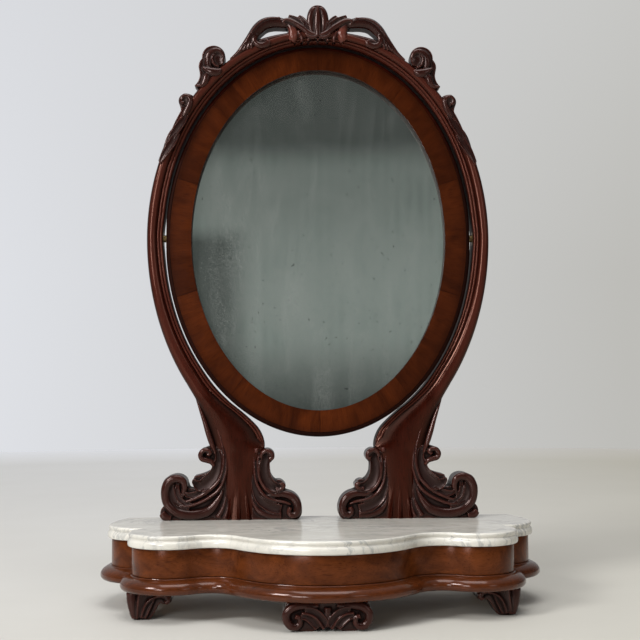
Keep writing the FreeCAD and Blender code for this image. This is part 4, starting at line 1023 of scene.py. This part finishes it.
def mirror_ring():
    """Oval frame: one section (inset from the outer edge, depth) carried round the oval, tilted back."""
    edge_width, edge_middle, edge_rise = 5.2, 6.0, 6.8
    glass_edge, glass_depth = mirror_band - 8, 10.0
    board_edge, board_depth = mirror_band - 18, mirror_back - mirror_front - 5
    round_turn = np.linspace(math.pi, math.pi / 2, 10)
    edge_round = np.stack([edge_width + edge_width * np.cos(round_turn),
                           edge_middle - edge_rise * np.sin(round_turn)], axis=1)
    depth = mirror_back - mirror_front
    section = np.vstack([[(1.5, depth), (0, depth - 1.5)], edge_round,
                         [(5.6, 0.0), (mirror_band - 0.8, 0.0), (mirror_band, 0.0)],
                         [(mirror_band + 0.2, 0.8), (mirror_band - 2.5, glass_depth)],
                         [(glass_edge, glass_depth), (glass_edge, board_depth), (board_edge, board_depth),
                          (board_edge, depth)]])
    turn = np.linspace(0, 2 * math.pi, 240, endpoint=False)
    grown = closing(turn)[:, None] * np.clip(1 - section[:, 0] / 12, 0, 1)
    place = oval(mirror_half + (grown - section[:, 0])[..., None], turn[:, None])
    rings = tilted(at_depth(place, mirror_front + section[:, 1]).reshape(-1, 3))
    faces = quads(len(turn), len(section), wrap_rows=True, wrap_columns=True)
    piece = add_piece("mirror_frame_moulded", rings, faces, "mirror_frame")
    piece.data.materials[0] = frame_wood
    # Painted shade over the frame (relief -0.75), lifted towards a paler, highlight-like tone on the outer edge of
    # its upper part
    upper = np.clip(1.8 * np.cos(turn) - 0.4, 0, 1)
    outer = np.clip(2 - section[:, 0] / 6, 0, 1)
    set_relief(piece, (-0.75 + 0.8 * upper[:, None] * outer).ravel())


# How pale each fitted segment is at its first and its last end, clockwise from the top
segment_tones = [(-0.6, -0.35), (-0.4, -0.7), (-0.3, -0.6), (-0.35, -0.6), (-0.35, -0.1), (-0.05, -0.35),
                 (-0.45, 0.0), (-0.45, -0.2), (-0.6, -0.3), (0.05, -0.5)]


def veneer_segments():
    """Fitted segments of thin veneer round the oval, each a closed slip with the grain across the band."""
    count = len(segment_tones)
    along, over = 26, 10
    inset = np.linspace(5.5, mirror_band - 0.1, over)
    thickness = 1.2
    gap = 0.0012
    points, faces, tones_and_shade, flat = [], [], [], []
    for number, ends in enumerate(segment_tones):
        first_end, last_end = 2 * math.pi * number / count, 2 * math.pi * (number + 1) / count
        turn = np.linspace(first_end + gap, last_end - gap, along)
        place = oval(mirror_half - inset[None, :, None], turn[:, None])
        front_face = at_depth(place, mirror_front - thickness)
        back_face = front_face[:, ::-1] + np.array([0, thickness, 0])
        ring = np.concatenate([front_face, back_face], axis=1)
        base = sum(len(block) for block in points)
        points.append(ring.reshape(-1, 3))
        faces += [[base + corner for corner in face] for face in tube_faces(along, 2 * over)]
        run = np.linspace(0, 1, along)[:, None]
        both_sides = np.append(inset, inset[::-1])[None]
        # Painted shade: the band darker towards its outer edge, added to each segment's own tone
        outer_shade = 0.6 * np.exp(-(both_sides - inset[0]) / 6)
        tones_and_shade.append((ends[0] + (ends[1] - ends[0]) * run - outer_shade).ravel())
        spots = np.broadcast_arrays(0.16 * run + 0.9 * number, both_sides * MM)
        flat.append(np.stack(spots, axis=-1).reshape(-1, 2))
    piece = add_piece("veneer_band_segments", tilted(np.vstack(points)), faces, "veneer_band")
    set_relief(piece, np.concatenate(tones_and_shade))
    corner_points = values_of(piece.data.loops, "vertex_index", int)
    piece.data.uv_layers.new(name="figure").data.foreach_set("uv", np.vstack(flat)[corner_points].ravel())


mirror_ring()
veneer_segments()


# Stage, light and camera

def floor_material():
    """Pale floor with a trace of mottling. Its colour is graded darker near the front and to the right and paler
    towards the back, painted shade and light in place of even lighting; a glow that only the camera sees
    paints it paler still towards the wall.
    """
    material, tree, shader = new_material("pale floor")
    coords = coordinates(tree)
    tone = spread(tree, noise(tree, coords, 3.0, 4.0, 0.6), 0.3, 0.7, -0.04, 0.04)
    parts = node(tree, "SeparateXYZ", {0: coords}).outputs
    # Painted shade and light: darker near the front and to the right, paler towards the back
    share = maths(tree, "ADD", spread(tree, parts["Y"], -1.2, 3.0), tone, clamp=True)
    left = blend_colour(tree, share, (0.49, 0.473, 0.43, 1), (0.85, 0.845, 0.83, 1))
    right = blend_colour(tree, share, (0.522, 0.489, 0.398, 1), (0.72, 0.689, 0.587, 1))
    sideways = spread(tree, parts["X"], -0.5, 1.6)
    colour = blend_colour(tree, sideways, left, right)
    # Painted light: a glow seen only by the camera, paler towards the back and the wall
    seen = node(tree, "LightPath", {}).outputs["Is Camera Ray"]
    far = times(tree, spread(tree, parts["Y"], 0.5, 3.6), seen)
    backdrop = blend_colour(tree, sideways, (0.17, 0.17, 0.168, 1), (0.1, 0.094, 0.072, 1))
    away = node(tree, "VectorMath", {0: coords}, operation="LENGTH").outputs["Value"]
    rim = times(tree, spread(tree, away, 3.4, 4.5), seen)
    towards_wall = blend_colour(tree, sideways, (0.145, 0.155, 0.19, 1), (0.085, 0.085, 0.11, 1))
    glow = blend_colour(tree, rim, blend_colour(tree, far, (0, 0, 0, 1), backdrop), towards_wall, "ADD")
    fill(tree, shader, {"Base Color": colour, "Emission Color": glow, "Emission Strength": 1.0,
                        "Roughness": 0.6})
    return material


def floor():
    """Round floor under the object, out to where the wall would stand."""
    reach = 4500.0
    turn = np.linspace(0, 2 * math.pi, 96, endpoint=False)
    rim = np.stack([reach * np.cos(turn), reach * np.sin(turn), np.zeros(len(turn))], axis=1)
    mesh = bpy.data.meshes.new("floor")
    mesh.from_pydata((rim * MM).tolist(), [], [list(range(len(turn)))])
    mesh.materials.append(floor_material())
    linked("floor", mesh)


def surroundings():
    """Pale even wall for the camera; for the light and the mirror a soft grey all round, with plain bands of
    light and dark and faint upright ribs in front of the glass."""
    world = bpy.data.worlds.new("studio")
    bpy.context.scene.world = world
    world.use_nodes = True
    tree = world.node_tree
    back = tree.nodes["Background"]
    direction = coordinates(tree, "Generated")
    parts = node(tree, "SeparateXYZ", {0: direction}).outputs
    upward = spread(tree, parts["Z"], 0.1, 0.36)
    right_wall = blend_colour(tree, upward, (0.51, 0.505, 0.48, 1), (0.575, 0.575, 0.56, 1))
    left_wall = blend_colour(tree, upward, (0.735, 0.75, 0.787, 1), (0.7, 0.712, 0.745, 1))
    wall = blend_colour(tree, spread(tree, parts["X"], -0.25, 0.3), left_wall, right_wall)
    path = node(tree, "LightPath", {}).outputs
    ramp = node(tree, "ValToRGB", {0: parts["Z"]})
    for place, grey in ((0.05, 0.06), (0.09, 0.05), (0.12, 0.12), (0.15, 0.235), (0.19, 0.24), (0.24, 0.205),
                        (0.27, 0.165), (0.3, 0.155), (0.32, 0.05)):
        stop = ramp.color_ramp.elements.new(place)
        stop.color = (0.96 * grey, 1.05 * grey, grey, 1)
    ramp.color_ramp.elements[0].color = (0.35, 0.35, 0.34, 1)
    ramp.color_ramp.elements[-1].color = (0.03, 0.032, 0.031, 1)
    away = maths(tree, "MAXIMUM", spread(tree, parts["X"], -0.047, -0.022),
                 spread(tree, parts["Z"], 0.235, 0.25))
    ribs = maths(tree, "SINE", times(tree, parts["X"], 635.0))
    shade = times(tree, spread(tree, away, 0.0, 1.0, 0.28, 1.0),
                  maths(tree, "ADD", 1.0, times(tree, ribs, 0.12)))
    even_shade = node(tree, "CombineXYZ", {0: shade, 1: shade, 2: shade}).outputs[0]
    front_side = scaled(tree, ramp.outputs[0], even_shade)
    behind = blend_colour(tree, spread(tree, parts["X"], 0.2, 0.9), (0.4, 0.4, 0.4, 1), (0.1, 0.1, 0.097, 1))
    level = blend_colour(tree, spread(tree, parts["Y"], -0.6, 0.6), front_side, behind)
    dome = blend_colour(tree, spread(tree, parts["Z"], 0.5, 0.95), level, (0.52, 0.52, 0.53, 1))
    fill(tree, back, {"Color": blend_colour(tree, path["Is Camera Ray"], dome, wall), "Strength": 1.0})


def soft_lamp(name, place, aim, size, power):
    """Large square lamp that faces a point, places in metres."""
    lamp = bpy.data.lights.new(name, "AREA")
    lamp.size = size
    lamp.energy = power
    holder = linked(name, lamp)
    holder.location = place
    holder.rotation_euler = (Vector(aim) - Vector(place)).to_track_quat("-Z", "Y").to_euler()


def camera():
    """Camera at the photograph's height and distance, turned a little to the right and up."""
    lens = bpy.data.cameras.new("view")
    lens.lens = 62.7
    lens.sensor_width = 36.0
    holder = linked("view", lens)
    place = Vector((-0.062, -1.5745, 0.3053))
    turn_right, look_up, lean = math.radians(2.15), math.radians(3.65), math.radians(-0.3)
    holder.matrix_world = (Matrix.Translation(place) @ Matrix.Rotation(-turn_right, 4, "Z")
                           @ Matrix.Rotation(math.pi / 2 + look_up, 4, "X") @ Matrix.Rotation(lean, 4, "Z"))
    bpy.context.scene.camera = holder


floor()
surroundings()
soft_lamp("left window", (-2.4, -1.9, 2.3), (0, 0, 0.4), 1.0, 84)
soft_lamp("low left window", (-1.5, -3.0, 1.1), (0, 0, 0.3), 0.9, 32)
soft_lamp("right fill", (2.0, -2.8, 1.4), (0, 0, 0.4), 0.9, 5)
soft_lamp("ceiling", (0.0, -0.5, 3.2), (0, 0, 0.3), 2.0, 50)
camera()
bpy.context.scene.view_settings.view_transform = "Standard"
